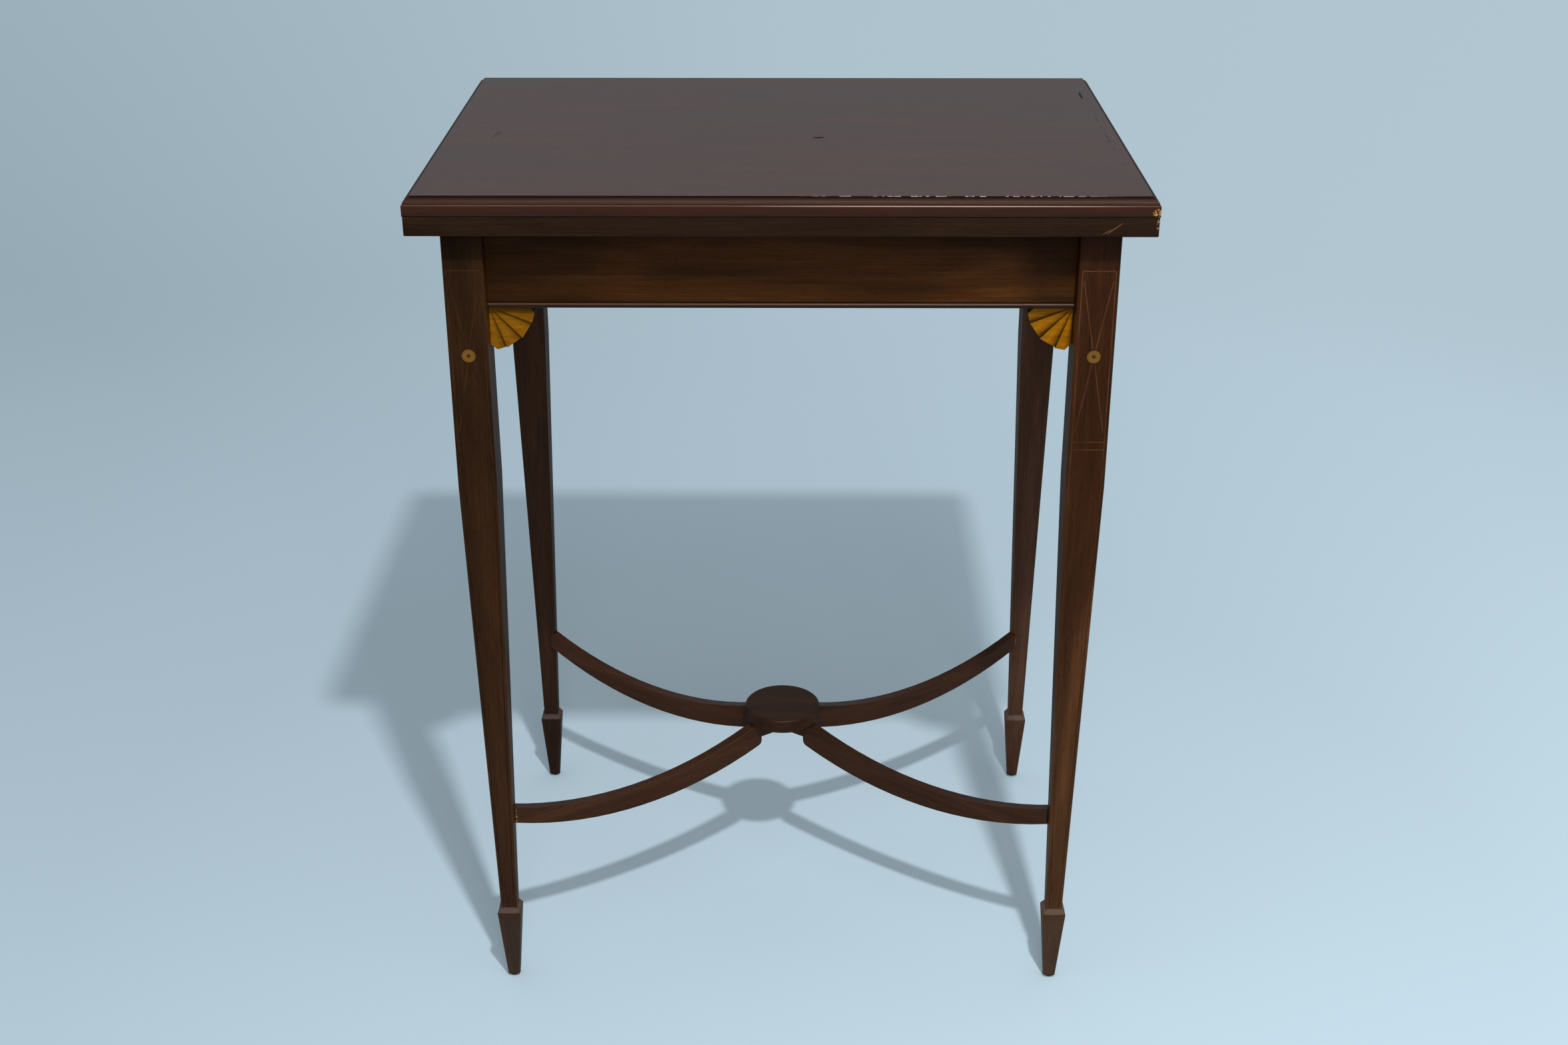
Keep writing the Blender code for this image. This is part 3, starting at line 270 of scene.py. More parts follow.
def leg_half(height):
    """Half the leg's side at a height."""
    share = max(0.0, (SQUARE_END - height) / (SQUARE_END - SHOULDER_TOP))
    return (LEG_SIDE - share * (LEG_SIDE - ANKLE_SIDE)) / 2


def on_face(centre, face, offset, height):
    """A point on a leg's outward face, offset from the face's middle line."""
    sideways = Vector((0.0, 0.0, 1.0)).cross(face)
    return Vector((centre.x, centre.y, height)) + face * leg_half(height) + sideways * offset


def new_mesh_object(add, **settings):
    """Adds a primitive alone, with nothing else selected."""
    bpy.ops.object.select_all(action="DESELECT")
    add(**settings)
    return bpy.context.object


def line_of_wood(start, end, normal, prouder=1.0):
    """A square line of wood from one point on a face to another."""
    along = (end - start).normalized()
    across = along.cross(normal).normalized()
    turn = Matrix((across, normal, along)).transposed().to_4x4()
    size = (LINE_WIDTH, 2 * LINE_PROUD * prouder, (end - start).length, 1.0)
    strip = new_mesh_object(bpy.ops.mesh.primitive_cube_add, size=1.0)
    strip.matrix_world = Matrix.Translation((start + end) / 2) @ turn @ Matrix.Diagonal(size)
    return strip


def join(pieces):
    """Joins pieces into the first of them."""
    bpy.ops.object.select_all(action="DESELECT")
    for piece in pieces:
        piece.select_set(True)
    bpy.context.view_layer.objects.active = pieces[0]
    bpy.ops.object.join()
    return bpy.context.object


def settle(piece, name, material, body="frame"):
    """Names a piece, applies its place, gives it its finish and hangs it on a body."""
    bpy.ops.object.select_all(action="DESELECT")
    piece.select_set(True)
    bpy.context.view_layer.objects.active = piece
    bpy.ops.object.transform_apply(location=True, rotation=True, scale=True)
    piece.name = name
    piece.data.name = name
    piece.data.materials.clear()
    piece.data.materials.append(material)
    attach(piece, body)
    return piece


def ease(piece, width):
    """Rounds the edges of a small inlaid piece, as scraping and polish do."""
    rounding = piece.modifiers.new("rounding", "BEVEL")
    rounding.width = width
    rounding.segments = 2
    rounding.limit_method = "ANGLE"
    bpy.ops.object.modifier_apply(modifier=rounding.name)


for leg_name, centre in LEG_CENTRES.items():
    dark, light = LINE_TONES["left" if leg_name.endswith("left_leg") else "right"]
    line_finish, tree, shader = new_material(f"boxwood_stringing_{leg_name}")
    place = add_node(tree, "ShaderNodeTexCoord").outputs["Object"]
    # Blotches 17 mm across.
    blotch = add_node(tree, "ShaderNodeTexNoise", {"Vector": place, "Scale": 60.0, "Detail": 3.0})
    tone = add_node(tree, "ShaderNodeValToRGB", {"Fac": blotch.outputs["Fac"]}, ((0.35, dark), (0.65, light)))
    height = add_node(tree, "ShaderNodeSeparateXYZ", {"Vector": place}).outputs["Z"]
    scaled_by_height = add_node(tree, "ShaderNodeMapRange", {"Value": height, "From Min": 0.40, "From Max": 0.60,
                                                  "To Min": 0.55, "To Max": 1.0})
    colour = add_node(tree, "ShaderNodeVectorMath", {0: tone.outputs["Color"],
                                                     "Scale": scaled_by_height.outputs["Result"]}, operation="SCALE")
    tree.links.new(colour.outputs["Vector"], shader.inputs["Base Color"])
    shader.inputs["Roughness"].default_value = 0.40
    shader.inputs["Specular IOR Level"].default_value = 0.2
    slope = (leg_half(SQUARE_END) - leg_half(SHOULDER_TOP)) / (SQUARE_END - SHOULDER_TOP)
    foot = SHOULDER_TOP + BORDER_INSET
    lines = []
    for face in (Vector((copysign(1.0, centre.x), 0.0, 0.0)), Vector((0.0, copysign(1.0, centre.y), 0.0))):
        leaning = (face - Vector((0.0, 0.0, slope))).normalized()
        for side in (-1, 1):
            top, bend, low = (on_face(centre, face, side * (leg_half(height) - BORDER_INSET), height)
                              for height in (TOP_BAR, SQUARE_END, foot))
            lines.append(line_of_wood(top, bend, face))
            lines.append(line_of_wood(bend, low, leaning))
        bars = [TOP_BAR]
        if leg_name.startswith("front") and face.y < 0:
            bars += LOW_BARS
            for side in (-1, 1):
                for cross_end in CROSS_ENDS:
                    share = PATERA_CLEAR / abs(cross_end - PATERA_HEIGHT)
                    cross_start = PATERA_HEIGHT + (cross_end - PATERA_HEIGHT) * share
                    near = on_face(centre, face, side * CROSS_SPREAD * share, cross_start)
                    far = on_face(centre, face, side * CROSS_SPREAD, cross_end)
                    lines.append(line_of_wood(near, far, face, CROSS_PROUDER))
        for bar in bars:
            half = leg_half(bar) - BORDER_INSET + LINE_WIDTH / 2
            start, end = (on_face(centre, face, side * half, bar) for side in (-1, 1))
            lines.append(line_of_wood(start, end, face, BAR_PROUDER))
    stringing = settle(join(lines), f"{leg_name}_stringing", line_finish)
    ease(stringing, LINE_EASE)

# Paterae. Each front leg has a turned boxwood disc let in flush where the stringing crosses, with a
# small dark plug of bog oak in the middle. Age has turned the boxwood yellow-brown, darker round the
# rim where polish has gathered, and the plug is nearly black and a little dull.
PATERA_RADIUS = 0.0058
PLUG_RADIUS = 0.0012
for flank in ("left", "right"):
    node = f"patera_front_{flank}"
    low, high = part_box(node)
    middle = (low + high) / 2
    patera_finish, tree, shader = new_material(f"boxwood_patera_{flank}")
    place = add_node(tree, "ShaderNodeTexCoord").outputs["Object"]
    centred = add_node(tree, "ShaderNodeMapping", {"Vector": place, "Location": middle,
                                                   "Scale": (PATERA_RADIUS, 1.0, PATERA_RADIUS)},
                       vector_type="TEXTURE")
    radius = add_node(tree, "ShaderNodeVectorMath", {0: centred.outputs["Vector"]}, operation="LENGTH")
    ring = add_node(tree, "ShaderNodeValToRGB", {"Fac": radius.outputs["Value"]},
                    ((0.16, "#472D0A"), (0.97, "#3A240B"), (0.45, "#69470E"), (0.85, "#61400D")))
    # Grain 1.1 mm across.
    grain = add_node(tree, "ShaderNodeTexNoise", {"Vector": place, "Scale": 900.0, "Detail": 3.0})
    shade = add_node(tree, "ShaderNodeMapRange", {"Value": grain.outputs["Fac"], "From Min": 0.3,
                                                  "From Max": 0.7, "To Min": 0.88, "To Max": 1.10})
    colour = add_node(tree, "ShaderNodeVectorMath", {0: ring.outputs["Color"],
                                                     "Scale": shade.outputs["Result"]}, operation="SCALE")
    tree.links.new(colour.outputs["Vector"], shader.inputs["Base Color"])
    shader.inputs["Roughness"].default_value = 0.42
    shader.inputs["Specular IOR Level"].default_value = 0.25
    dress(node, patera_finish)
    plug = new_mesh_object(bpy.ops.mesh.primitive_cylinder_add, vertices=24, radius=PLUG_RADIUS,
                           depth=2 * LINE_PROUD, location=(middle.x, low.y, middle.z),
                           rotation=(radians(90), 0, 0))
    plug_finish, tree, shader = new_material(f"bog_oak_{flank}")
    place = add_node(tree, "ShaderNodeTexCoord").outputs["Object"]
    # Fibres 0.7 mm across.
    fibre = add_node(tree, "ShaderNodeTexNoise", {"Vector": place, "Scale": 1500.0})
    tone = add_node(tree, "ShaderNodeValToRGB", {"Fac": fibre.outputs["Fac"]},
                    ((0.0, "#1E100C"), (1.0, "#40241A")))
    tree.links.new(tone.outputs["Color"], shader.inputs["Base Color"])
    shader.inputs["Roughness"].default_value = 0.5
    settle(plug, f"patera_plug_{flank}", plug_finish)
    ease(plug, LINE_EASE)

# Foot glides. A domed steel stud is driven up into each spade foot and keeps its end grain off the
# floor. The polish has gone from the dome, which is dull, with brown specks of rust.
glide_finish, tree, shader = new_material("dull_steel_glide")
place = add_node(tree, "ShaderNodeTexCoord").outputs["Object"]
# Specks 1.4 mm across.
rust = add_node(tree, "ShaderNodeTexNoise", {"Vector": place, "Scale": 700.0, "Detail": 4.0})
tone = add_node(tree, "ShaderNodeValToRGB", {"Fac": rust.outputs["Fac"]},
                ((0.4, "#7C746A"), (0.62, "#4E3D30")))
tree.links.new(tone.outputs["Color"], shader.inputs["Base Color"])
dull = add_node(tree, "ShaderNodeMapRange", {"Value": rust.outputs["Fac"], "To Min": 0.35, "To Max": 0.75})
tree.links.new(dull.outputs["Result"], shader.inputs["Roughness"])
shader.inputs["Metallic"].default_value = 1.0
for corner in ("front_left", "front_right", "rear_left", "rear_right"):
    dress(f"foot_glide_{corner}", glide_finish)

# Frieze. Four mahogany rails are tenoned between the legs, with the grain running level, and a
# half-round cock bead is glued under each. The rails are painted darker under the leaf and at the
# front's ends as painted shade, and are darker in the joint over the bead, and each bead is painted
# pale along its top edge as a painted highlight.
CROSSWISE = (0.0, 0.0, radians(90))
for turn, word, sides in ((LEVEL, "long", ("front", "rear")), (CROSSWISE, "short", ("left", "right"))):
    rail_finish = polished_mahogany(f"mahogany_{word}_rail", turn, "#241203", "#341A03", "#482806", 0.38,
                                    0.15)
    # The rails are painted darker towards the leaf, a painted shade.
    shade_under_leaf(rail_finish, 0.032, 0.34, 1.08)
    bead_finish = polished_mahogany(f"mahogany_{word}_bead", turn, "#1C0E07", "#26140A", "#301B0F", 0.34,
                                    0.35)
    # Each bead is painted pale along its top edge, a painted highlight.
    painted_highlight_edge = (0.6, 0.02, 0.0014) if word == "long" else (0.02, 0.6, 0.0014)
    arrises = []
    for side in sides:
        low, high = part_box(f"{side}_cock_bead")
        middle = (low + high) / 2
        arrises.append(((middle.x, middle.y, high.z), painted_highlight_edge, LEVEL))
    mark(bead_finish, arrises, "#4A3327", 0.9)
    low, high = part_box("front_frieze")
    mark(rail_finish, [((0.0, 0.0, low.z), (0.6, 0.6, 0.0016), LEVEL)], "#0D0602", 0.7)
    # The front rail is painted darker at its ends, a painted shadow of the legs and the leaf.
    if word == "long":
        half_way = (low.z + high.z) / 2
        mark(rail_finish, [((low.x, low.y, half_way), (0.130, 0.030, 0.090), LEVEL),
                           ((high.x, low.y, half_way), (0.070, 0.030, 0.090), LEVEL)], "#130A02", 0.45)
    for side in sides:
        dress(f"{side}_frieze", rail_finish)
        dress(f"{side}_cock_bead", bead_finish)

# Fan brackets. A quarter fan of four satinwood rays is carved for each corner under the frieze and
# glued to leg and bead. The varnish is golden; each ray is painted lighter on its crown and darker by
# its cut, and each fan darker close under the bead and on its rim, all painted shade. The front left
# one is darker.
FAN_RAY_EDGES = (0, 21, 45, 69, 90)
FAN_FROM_LEG = ("front_left", "right_front", "rear_right", "left_rear")
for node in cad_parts:
    if not node.startswith("fan_bracket"):
        continue
    low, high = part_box(node)
    along_x = high.x - low.x > high.y - low.y
    dark, light = ("#633D02", "#794D02") if node.endswith("front_left") else ("#7A4A02", "#925B02")
    fan_finish, tree, shader = new_material(f"satinwood_{node}")
    place = add_node(tree, "ShaderNodeTexCoord").outputs["Object"]
    normal = add_node(tree, "ShaderNodeNewGeometry").outputs["True Normal"]
    outward = add_node(tree, "ShaderNodeSeparateXYZ", {"Vector": normal}).outputs["Y" if along_x else "X"]
    facing = add_node(tree, "ShaderNodeMath", {0: outward}, operation="ABSOLUTE")
    front = add_node(tree, "ShaderNodeMapRange", {"Value": facing.outputs["Value"], "From Min": 0.55,
                                                  "From Max": 0.85})
    # Fibres 17 mm long and 2.4 mm across.
    grain = add_node(tree, "ShaderNodeMapping", {"Vector": place, "Rotation": (radians(30), radians(40), 0.0),
                                                 "Scale": (60.0, 420.0, 420.0)})
    fibre = add_node(tree, "ShaderNodeTexNoise", {"Vector": grain.outputs["Vector"], "Scale": 1.0,
                                                  "Detail": 3.0})
    tone = add_node(tree, "ShaderNodeValToRGB", {"Fac": fibre.outputs["Fac"]}, ((0.3, dark), (0.7, light)))
    apex = Vector((max(low.x, high.x, key=abs), max(low.y, high.y, key=abs), high.z))
    from_apex = add_node(tree, "ShaderNodeMapping", {"Vector": place, "Location": apex},
                         vector_type="TEXTURE")
    offset = add_node(tree, "ShaderNodeSeparateXYZ", {"Vector": from_apex.outputs["Vector"]})
    across = add_node(tree, "ShaderNodeMath", {0: offset.outputs["X" if along_x else "Y"]},
                      operation="ABSOLUTE")
    down = add_node(tree, "ShaderNodeMath", {0: offset.outputs["Z"]}, operation="ABSOLUTE")
    rise, run = (across, down) if node.endswith(FAN_FROM_LEG) else (down, across)
    angle = add_node(tree, "ShaderNodeMath", {0: rise.outputs["Value"], 1: run.outputs["Value"]},
                     operation="ARCTAN2")
    swept = add_node(tree, "ShaderNodeMapRange", {"Value": angle.outputs["Value"], "From Max": radians(90)})
    # Across each ray, lighter on its crown and darker by the cut: painted shading of the carved steps.
    stops = [(0.0, "#F0F0F0"), (1.0, "#8C8C8C")]
    for start, end in zip(FAN_RAY_EDGES, FAN_RAY_EDGES[1:]):
        stops.append(((start + 0.45 * (end - start)) / 90, "#FFFFFF"))
        stops.append(((start + 0.78 * (end - start)) / 90, "#D2D2D2"))
        if end < 90:
            stops.append(((end - 0.6) / 90, "#7A7A7A"))
            stops.append(((end + 0.6) / 90, "#F0F0F0"))
    painted_ray_shading = add_node(tree, "ShaderNodeValToRGB", {"Fac": swept.outputs["Result"]}, stops)
    shaded = add_node(tree, "ShaderNodeMix", {"Factor": 1.0, 6: tone.outputs["Color"],
                                              7: painted_ray_shading.outputs["Color"]}, data_type="RGBA",
                      blend_type="MULTIPLY")
    # Darker close under the bead, a painted shade.
    under = add_node(tree, "ShaderNodeMapRange", {"Value": down.outputs["Value"], "From Max": 0.011,
                                                  "To Min": 0.42})
    # Blotches 17 mm across.
    blotch = add_node(tree, "ShaderNodeTexNoise", {"Vector": place, "Scale": 60.0, "Detail": 2.0})
    aged = add_node(tree, "ShaderNodeMapRange", {"Value": blotch.outputs["Fac"], "From Min": 0.3,
                                                 "From Max": 0.7, "To Min": 0.92, "To Max": 1.08})
    shade_and_blotches = add_node(tree, "ShaderNodeMath", {0: under.outputs["Result"], 1: aged.outputs["Result"]},
                   operation="MULTIPLY")
    golden = add_node(tree, "ShaderNodeVectorMath", {0: shaded.outputs[2], "Scale": shade_and_blotches.outputs["Value"]},
                      operation="SCALE")
    # Faces that don't face outward, the rim and the steps, are painted dark greenish brown, a painted shade.
    both = add_node(tree, "ShaderNodeMix", {"Factor": front.outputs["Result"], 6: linear("#2A210B"),
                                            7: golden.outputs["Vector"]}, data_type="RGBA")
    tree.links.new(both.outputs[2], shader.inputs["Base Color"])
    shader.inputs["Roughness"].default_value = 0.52
    shader.inputs["Specular IOR Level"].default_value = 0.06
    bump = add_node(tree, "ShaderNodeBump", {"Height": fibre.outputs["Fac"], "Strength": 0.04,
                                             "Distance": 0.0002})
    tree.links.new(bump.outputs["Normal"], shader.inputs["Normal"])
    dress(node, fan_finish)

# Card well and pivot rail. The well's floor and partition and the stout rail that carries the pivot
# are plain deal, planed and left without polish, with rings 11 mm across, and darker where dust and
# hands have been.
DEAL_PIECES = {"across": (CROSSWISE, ("well_partition", "pivot_rail")), "floor": (LEVEL, ("well_floor",))}
for word, (turn, nodes) in DEAL_PIECES.items():
    deal_finish, tree, shader = new_material(f"deal_{word}")
    place = add_node(tree, "ShaderNodeTexCoord").outputs["Object"]
    board = add_node(tree, "ShaderNodeMapping", {"Vector": place, "Rotation": turn}).outputs["Vector"]
    slow = add_node(tree, "ShaderNodeMapping", {"Vector": board, "Scale": (5.0, 90.0, 90.0)})
    rings = add_node(tree, "ShaderNodeTexNoise", {"Vector": slow.outputs["Vector"], "Scale": 1.0,
                                                  "Detail": 3.0, "Distortion": 0.8})
    tone = add_node(tree, "ShaderNodeValToRGB", {"Fac": rings.outputs["Fac"]},
                    ((0.36, "#7A5533"), (0.66, "#A98357")))
    # Dusty patches 45 mm across.
    dust = add_node(tree, "ShaderNodeTexNoise", {"Vector": place, "Scale": 22.0, "Detail": 4.0})
    shade = add_node(tree, "ShaderNodeMapRange", {"Value": dust.outputs["Fac"], "From Min": 0.35,
                                                  "From Max": 0.7, "To Min": 1.0, "To Max": 0.72})
    colour = add_node(tree, "ShaderNodeVectorMath", {0: tone.outputs["Color"],
                                                     "Scale": shade.outputs["Result"]}, operation="SCALE")
    tree.links.new(colour.outputs["Vector"], shader.inputs["Base Color"])
    bump = add_node(tree, "ShaderNodeBump", {"Height": rings.outputs["Fac"], "Strength": 0.3,
                                             "Distance": 0.0004})
    tree.links.new(bump.outputs["Normal"], shader.inputs["Normal"])
    shader.inputs["Roughness"].default_value = 0.72
    for node in nodes:
        dress(node, deal_finish)

# Stretcher. Four arms are sawn to a hanging curve from mahogany board, let round the legs' inner
# arrises, and meet under a turned disc that hides the joint. Hard glue, gone amber, shows where two
# of the arms meet their legs, and the disc's polish has worn matt.
ARM_ANGLE = 34.5
JOINT_HEIGHT = 0.1687
# How far each mark of glue lies inward from its leg's middle, and how often it is broken.
GLUE = {"front_left": (0.0098, 0.0026, 420.0), "rear_right": (0.0046, 0.0096, 0.0)}
for sy, end in ((-1, "front"), (1, "rear")):
    for sx, flank in ((-1, "left"), (1, "right")):
        corner = f"{end}_{flank}"
        grain_turn = (0.0, 0.0, -radians(ARM_ANGLE) * sx * sy)
        arm_finish = polished_mahogany(f"mahogany_arm_{corner}", grain_turn, "#281508", "#371E0D", "#462812",
                                       0.38, 0.22)
        if corner in GLUE:
            across, along, ragged = GLUE[corner]
            leg = LEG_CENTRES[f"{corner}_leg"]
            joint = (leg.x - sx * across, leg.y - sy * along, JOINT_HEIGHT)
            mark(arm_finish, [(joint, (0.0024, 0.0028, 0.0100), LEVEL)], "#8A6A35", 0.8, ragged)
        dress(f"stretcher_arm_{corner}", arm_finish)
dress("stretcher_disc", polished_mahogany("mahogany_disc", LEVEL, "#231308", "#2F1A0B", "#3A2311", 0.5, 0.2))

# Pivot. A flanged iron bolt is let into the lower leaf and passes through the pivot rail to a washer
# and a nut, so the top can be turned a quarter round. The iron is grey-brown and patchy with age.
iron_finish, tree, shader = new_material("aged_iron")
place = add_node(tree, "ShaderNodeTexCoord").outputs["Object"]
# Patches 3 mm across.
scale = add_node(tree, "ShaderNodeTexNoise", {"Vector": place, "Scale": 350.0, "Detail": 5.0})
tone = add_node(tree, "ShaderNodeValToRGB", {"Fac": scale.outputs["Fac"]},
                ((0.35, "#5A544D"), (0.65, "#3A2C22")))
tree.links.new(tone.outputs["Color"], shader.inputs["Base Color"])
dull = add_node(tree, "ShaderNodeMapRange", {"Value": scale.outputs["Fac"], "To Min": 0.4, "To Max": 0.8})
tree.links.new(dull.outputs["Result"], shader.inputs["Roughness"])
shader.inputs["Metallic"].default_value = 0.9
for node in ("pivot_bolt", "pivot_washer", "pivot_nut"):
    dress(node, iron_finish)

# Leaves. Two mahogany boards are hinged at the rear and lie face to face. The upper has a quirk and
# an ovolo run round its front and ends; its face is greyer and glossier than its worn edge, the quirk
# is painted dark as shade, the ledge over the ovolo has a painted highlight, and pale flecks run along
# the front of the quirk. The lower has a plain square edge and darker wood.
LEAF_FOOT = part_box("upper_leaf")[0].z
LEAF_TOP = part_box("upper_leaf")[1].z
LEAF_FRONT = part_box("upper_leaf")[0].y
upper_finish = polished_mahogany("mahogany_upper_leaf", LEVEL, "#3B2419", "#442A1F", "#4E3228", 0.36, 0.5,
                                 0.13)
lower_finish = polished_mahogany("mahogany_lower_leaf", LEVEL, "#1C0F05", "#251508", "#2F1B0B", 0.42, 0.2)
tree, shader, face = opened(upper_finish)
polish = shader.inputs["Roughness"].links[0].from_socket
place = add_node(tree, "ShaderNodeTexCoord").outputs["Object"]
height = add_node(tree, "ShaderNodeSeparateXYZ", {"Vector": place}).outputs["Z"]
share = add_node(tree, "ShaderNodeMapRange", {"Value": height, "From Min": LEAF_FOOT, "From Max": LEAF_TOP})
# From the leaf's foot up: the joint, the flat, its arris with a painted highlight, the ovolo, the quirk
# painted dark as shade, and the top edge.
moulding = add_node(tree, "ShaderNodeValToRGB", {"Fac": share.outputs["Result"]},
                    ((0.02, "#100805"), (1.0, "#1A0E09"), (0.06, "#2A1509"), (0.54, "#32180A"),
                     (0.555, "#583A2D"), (0.585, "#583A2D"), (0.60, "#261308"), (0.72, "#331B0E"),
                     (0.84, "#301709"), (0.90, "#261208"), (0.92, "#120906")))
# Rubbed streaks 55 mm long and 1.1 mm high.
lengthwise = add_node(tree, "ShaderNodeMapping", {"Vector": place, "Scale": (18.0, 18.0, 900.0)})
wear = add_node(tree, "ShaderNodeTexNoise", {"Vector": lengthwise.outputs["Vector"], "Scale": 1.0,
                                             "Detail": 3.0})
shade = add_node(tree, "ShaderNodeMapRange", {"Value": wear.outputs["Fac"], "From Min": 0.3, "From Max": 0.7,
                                              "To Min": 0.82, "To Max": 1.18})
edge = add_node(tree, "ShaderNodeVectorMath", {0: moulding.outputs["Color"],
                                               "Scale": shade.outputs["Result"]}, operation="SCALE")
level = add_node(tree, "ShaderNodeMapRange", {"Value": share.outputs["Result"], "From Min": 0.975,
                                              "From Max": 0.99}).outputs["Result"]
both = add_node(tree, "ShaderNodeMix", {"Factor": level, 6: edge.outputs["Vector"], 7: face},
                data_type="RGBA")
tree.links.new(both.outputs[2], shader.inputs["Base Color"])
handled = add_node(tree, "ShaderNodeMix", {"Factor": level, "A": 0.58, "B": polish})
tree.links.new(handled.outputs["Result"], shader.inputs["Roughness"])
sheen = add_node(tree, "ShaderNodeMix", {"Factor": level, "A": 0.22, "B": 0.5})
tree.links.new(sheen.outputs["Result"], shader.inputs["Specular IOR Level"])
# A painted glint on the ledge over the ovolo, and pale flecks along the quirk's right half.
mark(upper_finish, [((0.120, LEAF_FRONT + 0.0004, LEAF_FOOT + 0.0084), (0.1600, 0.0012, 0.0004), LEVEL)],
     "#C9A695", 0.45)
mark(upper_finish, [((0.135, LEAF_FRONT + 0.0058, LEAF_TOP - 0.0003), (0.128, 0.0004, 0.0003), LEVEL)],
     "#CDBCAB", 0.75, 230.0)
# On the top, a short burn and a dark dash at the right, then two faint scratches near its ends.
mark(upper_finish, [((0.0305, -0.0220, LEAF_TOP), (0.0062, 0.0030, 0.0010), (0.0, 0.0, radians(12.0))),
                    ((0.2690, 0.1340, LEAF_TOP), (0.0013, 0.0175, 0.0010), LEVEL)],
     "#0C0605", 0.95, 0.0, True)
mark(upper_finish, [((0.2712, -0.0280, LEAF_TOP), (0.0008, 0.1250, 0.0010), LEVEL),
                    ((-0.2385, -0.0080, LEAF_TOP), (0.0011, 0.0230, 0.0010), (0.0, 0.0, radians(-9.6)))],
     "#140B09", 0.6, 90.0, True)
# Bare wood at both leaves' right front corners, and two scratches on the lower leaf's edge.
mark(upper_finish, [((0.2835, LEAF_FRONT, LEAF_FOOT + 0.0035), (0.0040, 0.0030, 0.0038), LEVEL)],
     "#A87B38", 0.9, 700.0)
mark(lower_finish, [((0.2850, LEAF_FRONT, LEAF_FOOT - 0.0060), (0.0018, 0.0018, 0.0060), LEVEL)],
     "#8A6430", 0.8, 700.0)
mark(lower_finish, [((0.2521, LEAF_FRONT, LEAF_FOOT - 0.0086), (0.0085, 0.0010, 0.00035),
                     (0.0, radians(-36.9), 0.0)),
                    ((0.2465, LEAF_FRONT, LEAF_FOOT - 0.0112), (0.0050, 0.0010, 0.00030),
                     (0.0, radians(-30.0), 0.0))], "#70472A", 0.8)
dress("upper_leaf", upper_finish)
dress("lower_leaf", lower_finish)

# Baize. Green woollen cloth is glued into a shallow bed in the playing face of each leaf. The cloth
# is 0.8 mm thick, cut square, with a short soft nap, and it has faded in wide patches.
for node, body in (("lower_baize", "lower_leaf"), ("upper_baize", "upper_leaf")):
    low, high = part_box(node)
    size = high - low
    cloth = new_mesh_object(bpy.ops.mesh.primitive_cube_add, size=1.0, location=(low + high) / 2, scale=size)
    bpy.ops.object.mode_set(mode="EDIT")
    bpy.ops.mesh.subdivide(number_cuts=24)
    bpy.ops.object.mode_set(mode="OBJECT")
    baize_finish, tree, shader = new_material(f"green_baize_{node}")
    place = add_node(tree, "ShaderNodeTexCoord").outputs["Object"]
    # Tufts 0.7 mm across, and faded patches 110 mm across.
    nap = add_node(tree, "ShaderNodeTexNoise", {"Vector": place, "Scale": 1400.0, "Detail": 2.0})
    worn = add_node(tree, "ShaderNodeTexNoise", {"Vector": place, "Scale": 9.0, "Detail": 4.0})
    tone = add_node(tree, "ShaderNodeValToRGB", {"Fac": worn.outputs["Fac"]},
                    ((0.35, "#1F4A33"), (0.68, "#39684A")))
    fluff = add_node(tree, "ShaderNodeMapRange", {"Value": nap.outputs["Fac"], "From Min": 0.3,
                                                  "From Max": 0.7, "To Min": 0.78, "To Max": 1.2})
    colour = add_node(tree, "ShaderNodeVectorMath", {0: tone.outputs["Color"],
                                                     "Scale": fluff.outputs["Result"]}, operation="SCALE")
    tree.links.new(colour.outputs["Vector"], shader.inputs["Base Color"])
    bump = add_node(tree, "ShaderNodeBump", {"Height": nap.outputs["Fac"], "Strength": 0.5,
                                             "Distance": 0.0004})
    tree.links.new(bump.outputs["Normal"], shader.inputs["Normal"])
    shader.inputs["Roughness"].default_value = 0.95
    shader.inputs["Sheen Weight"].default_value = 0.3
    settle(cloth, f"{node}_cloth", baize_finish, body)
    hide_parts(node)

# Hinges. Cast brass plates are screwed into the leaves' ends at the rear corners, and a link on two
# brass pins joins them, so the leaves open flat. The brass is browned in patches, and duller there.
brass_finish, tree, shader = new_material("tarnished_brass")
place = add_node(tree, "ShaderNodeTexCoord").outputs["Object"]
# Brown patches 5.5 mm across.
stain = add_node(tree, "ShaderNodeTexNoise", {"Vector": place, "Scale": 180.0, "Detail": 5.0})
tone = add_node(tree, "ShaderNodeValToRGB", {"Fac": stain.outputs["Fac"]},
                ((0.35, "#B08B45"), (0.68, "#6A4A22")))
tree.links.new(tone.outputs["Color"], shader.inputs["Base Color"])
dull = add_node(tree, "ShaderNodeMapRange", {"Value": stain.outputs["Fac"], "From Min": 0.3, "From Max": 0.7,
                                             "To Min": 0.28, "To Max": 0.6})
tree.links.new(dull.outputs["Result"], shader.inputs["Roughness"])
shader.inputs["Metallic"].default_value = 1.0
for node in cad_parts:
    if node.startswith("hinge_"):
        dress(node, brass_finish)

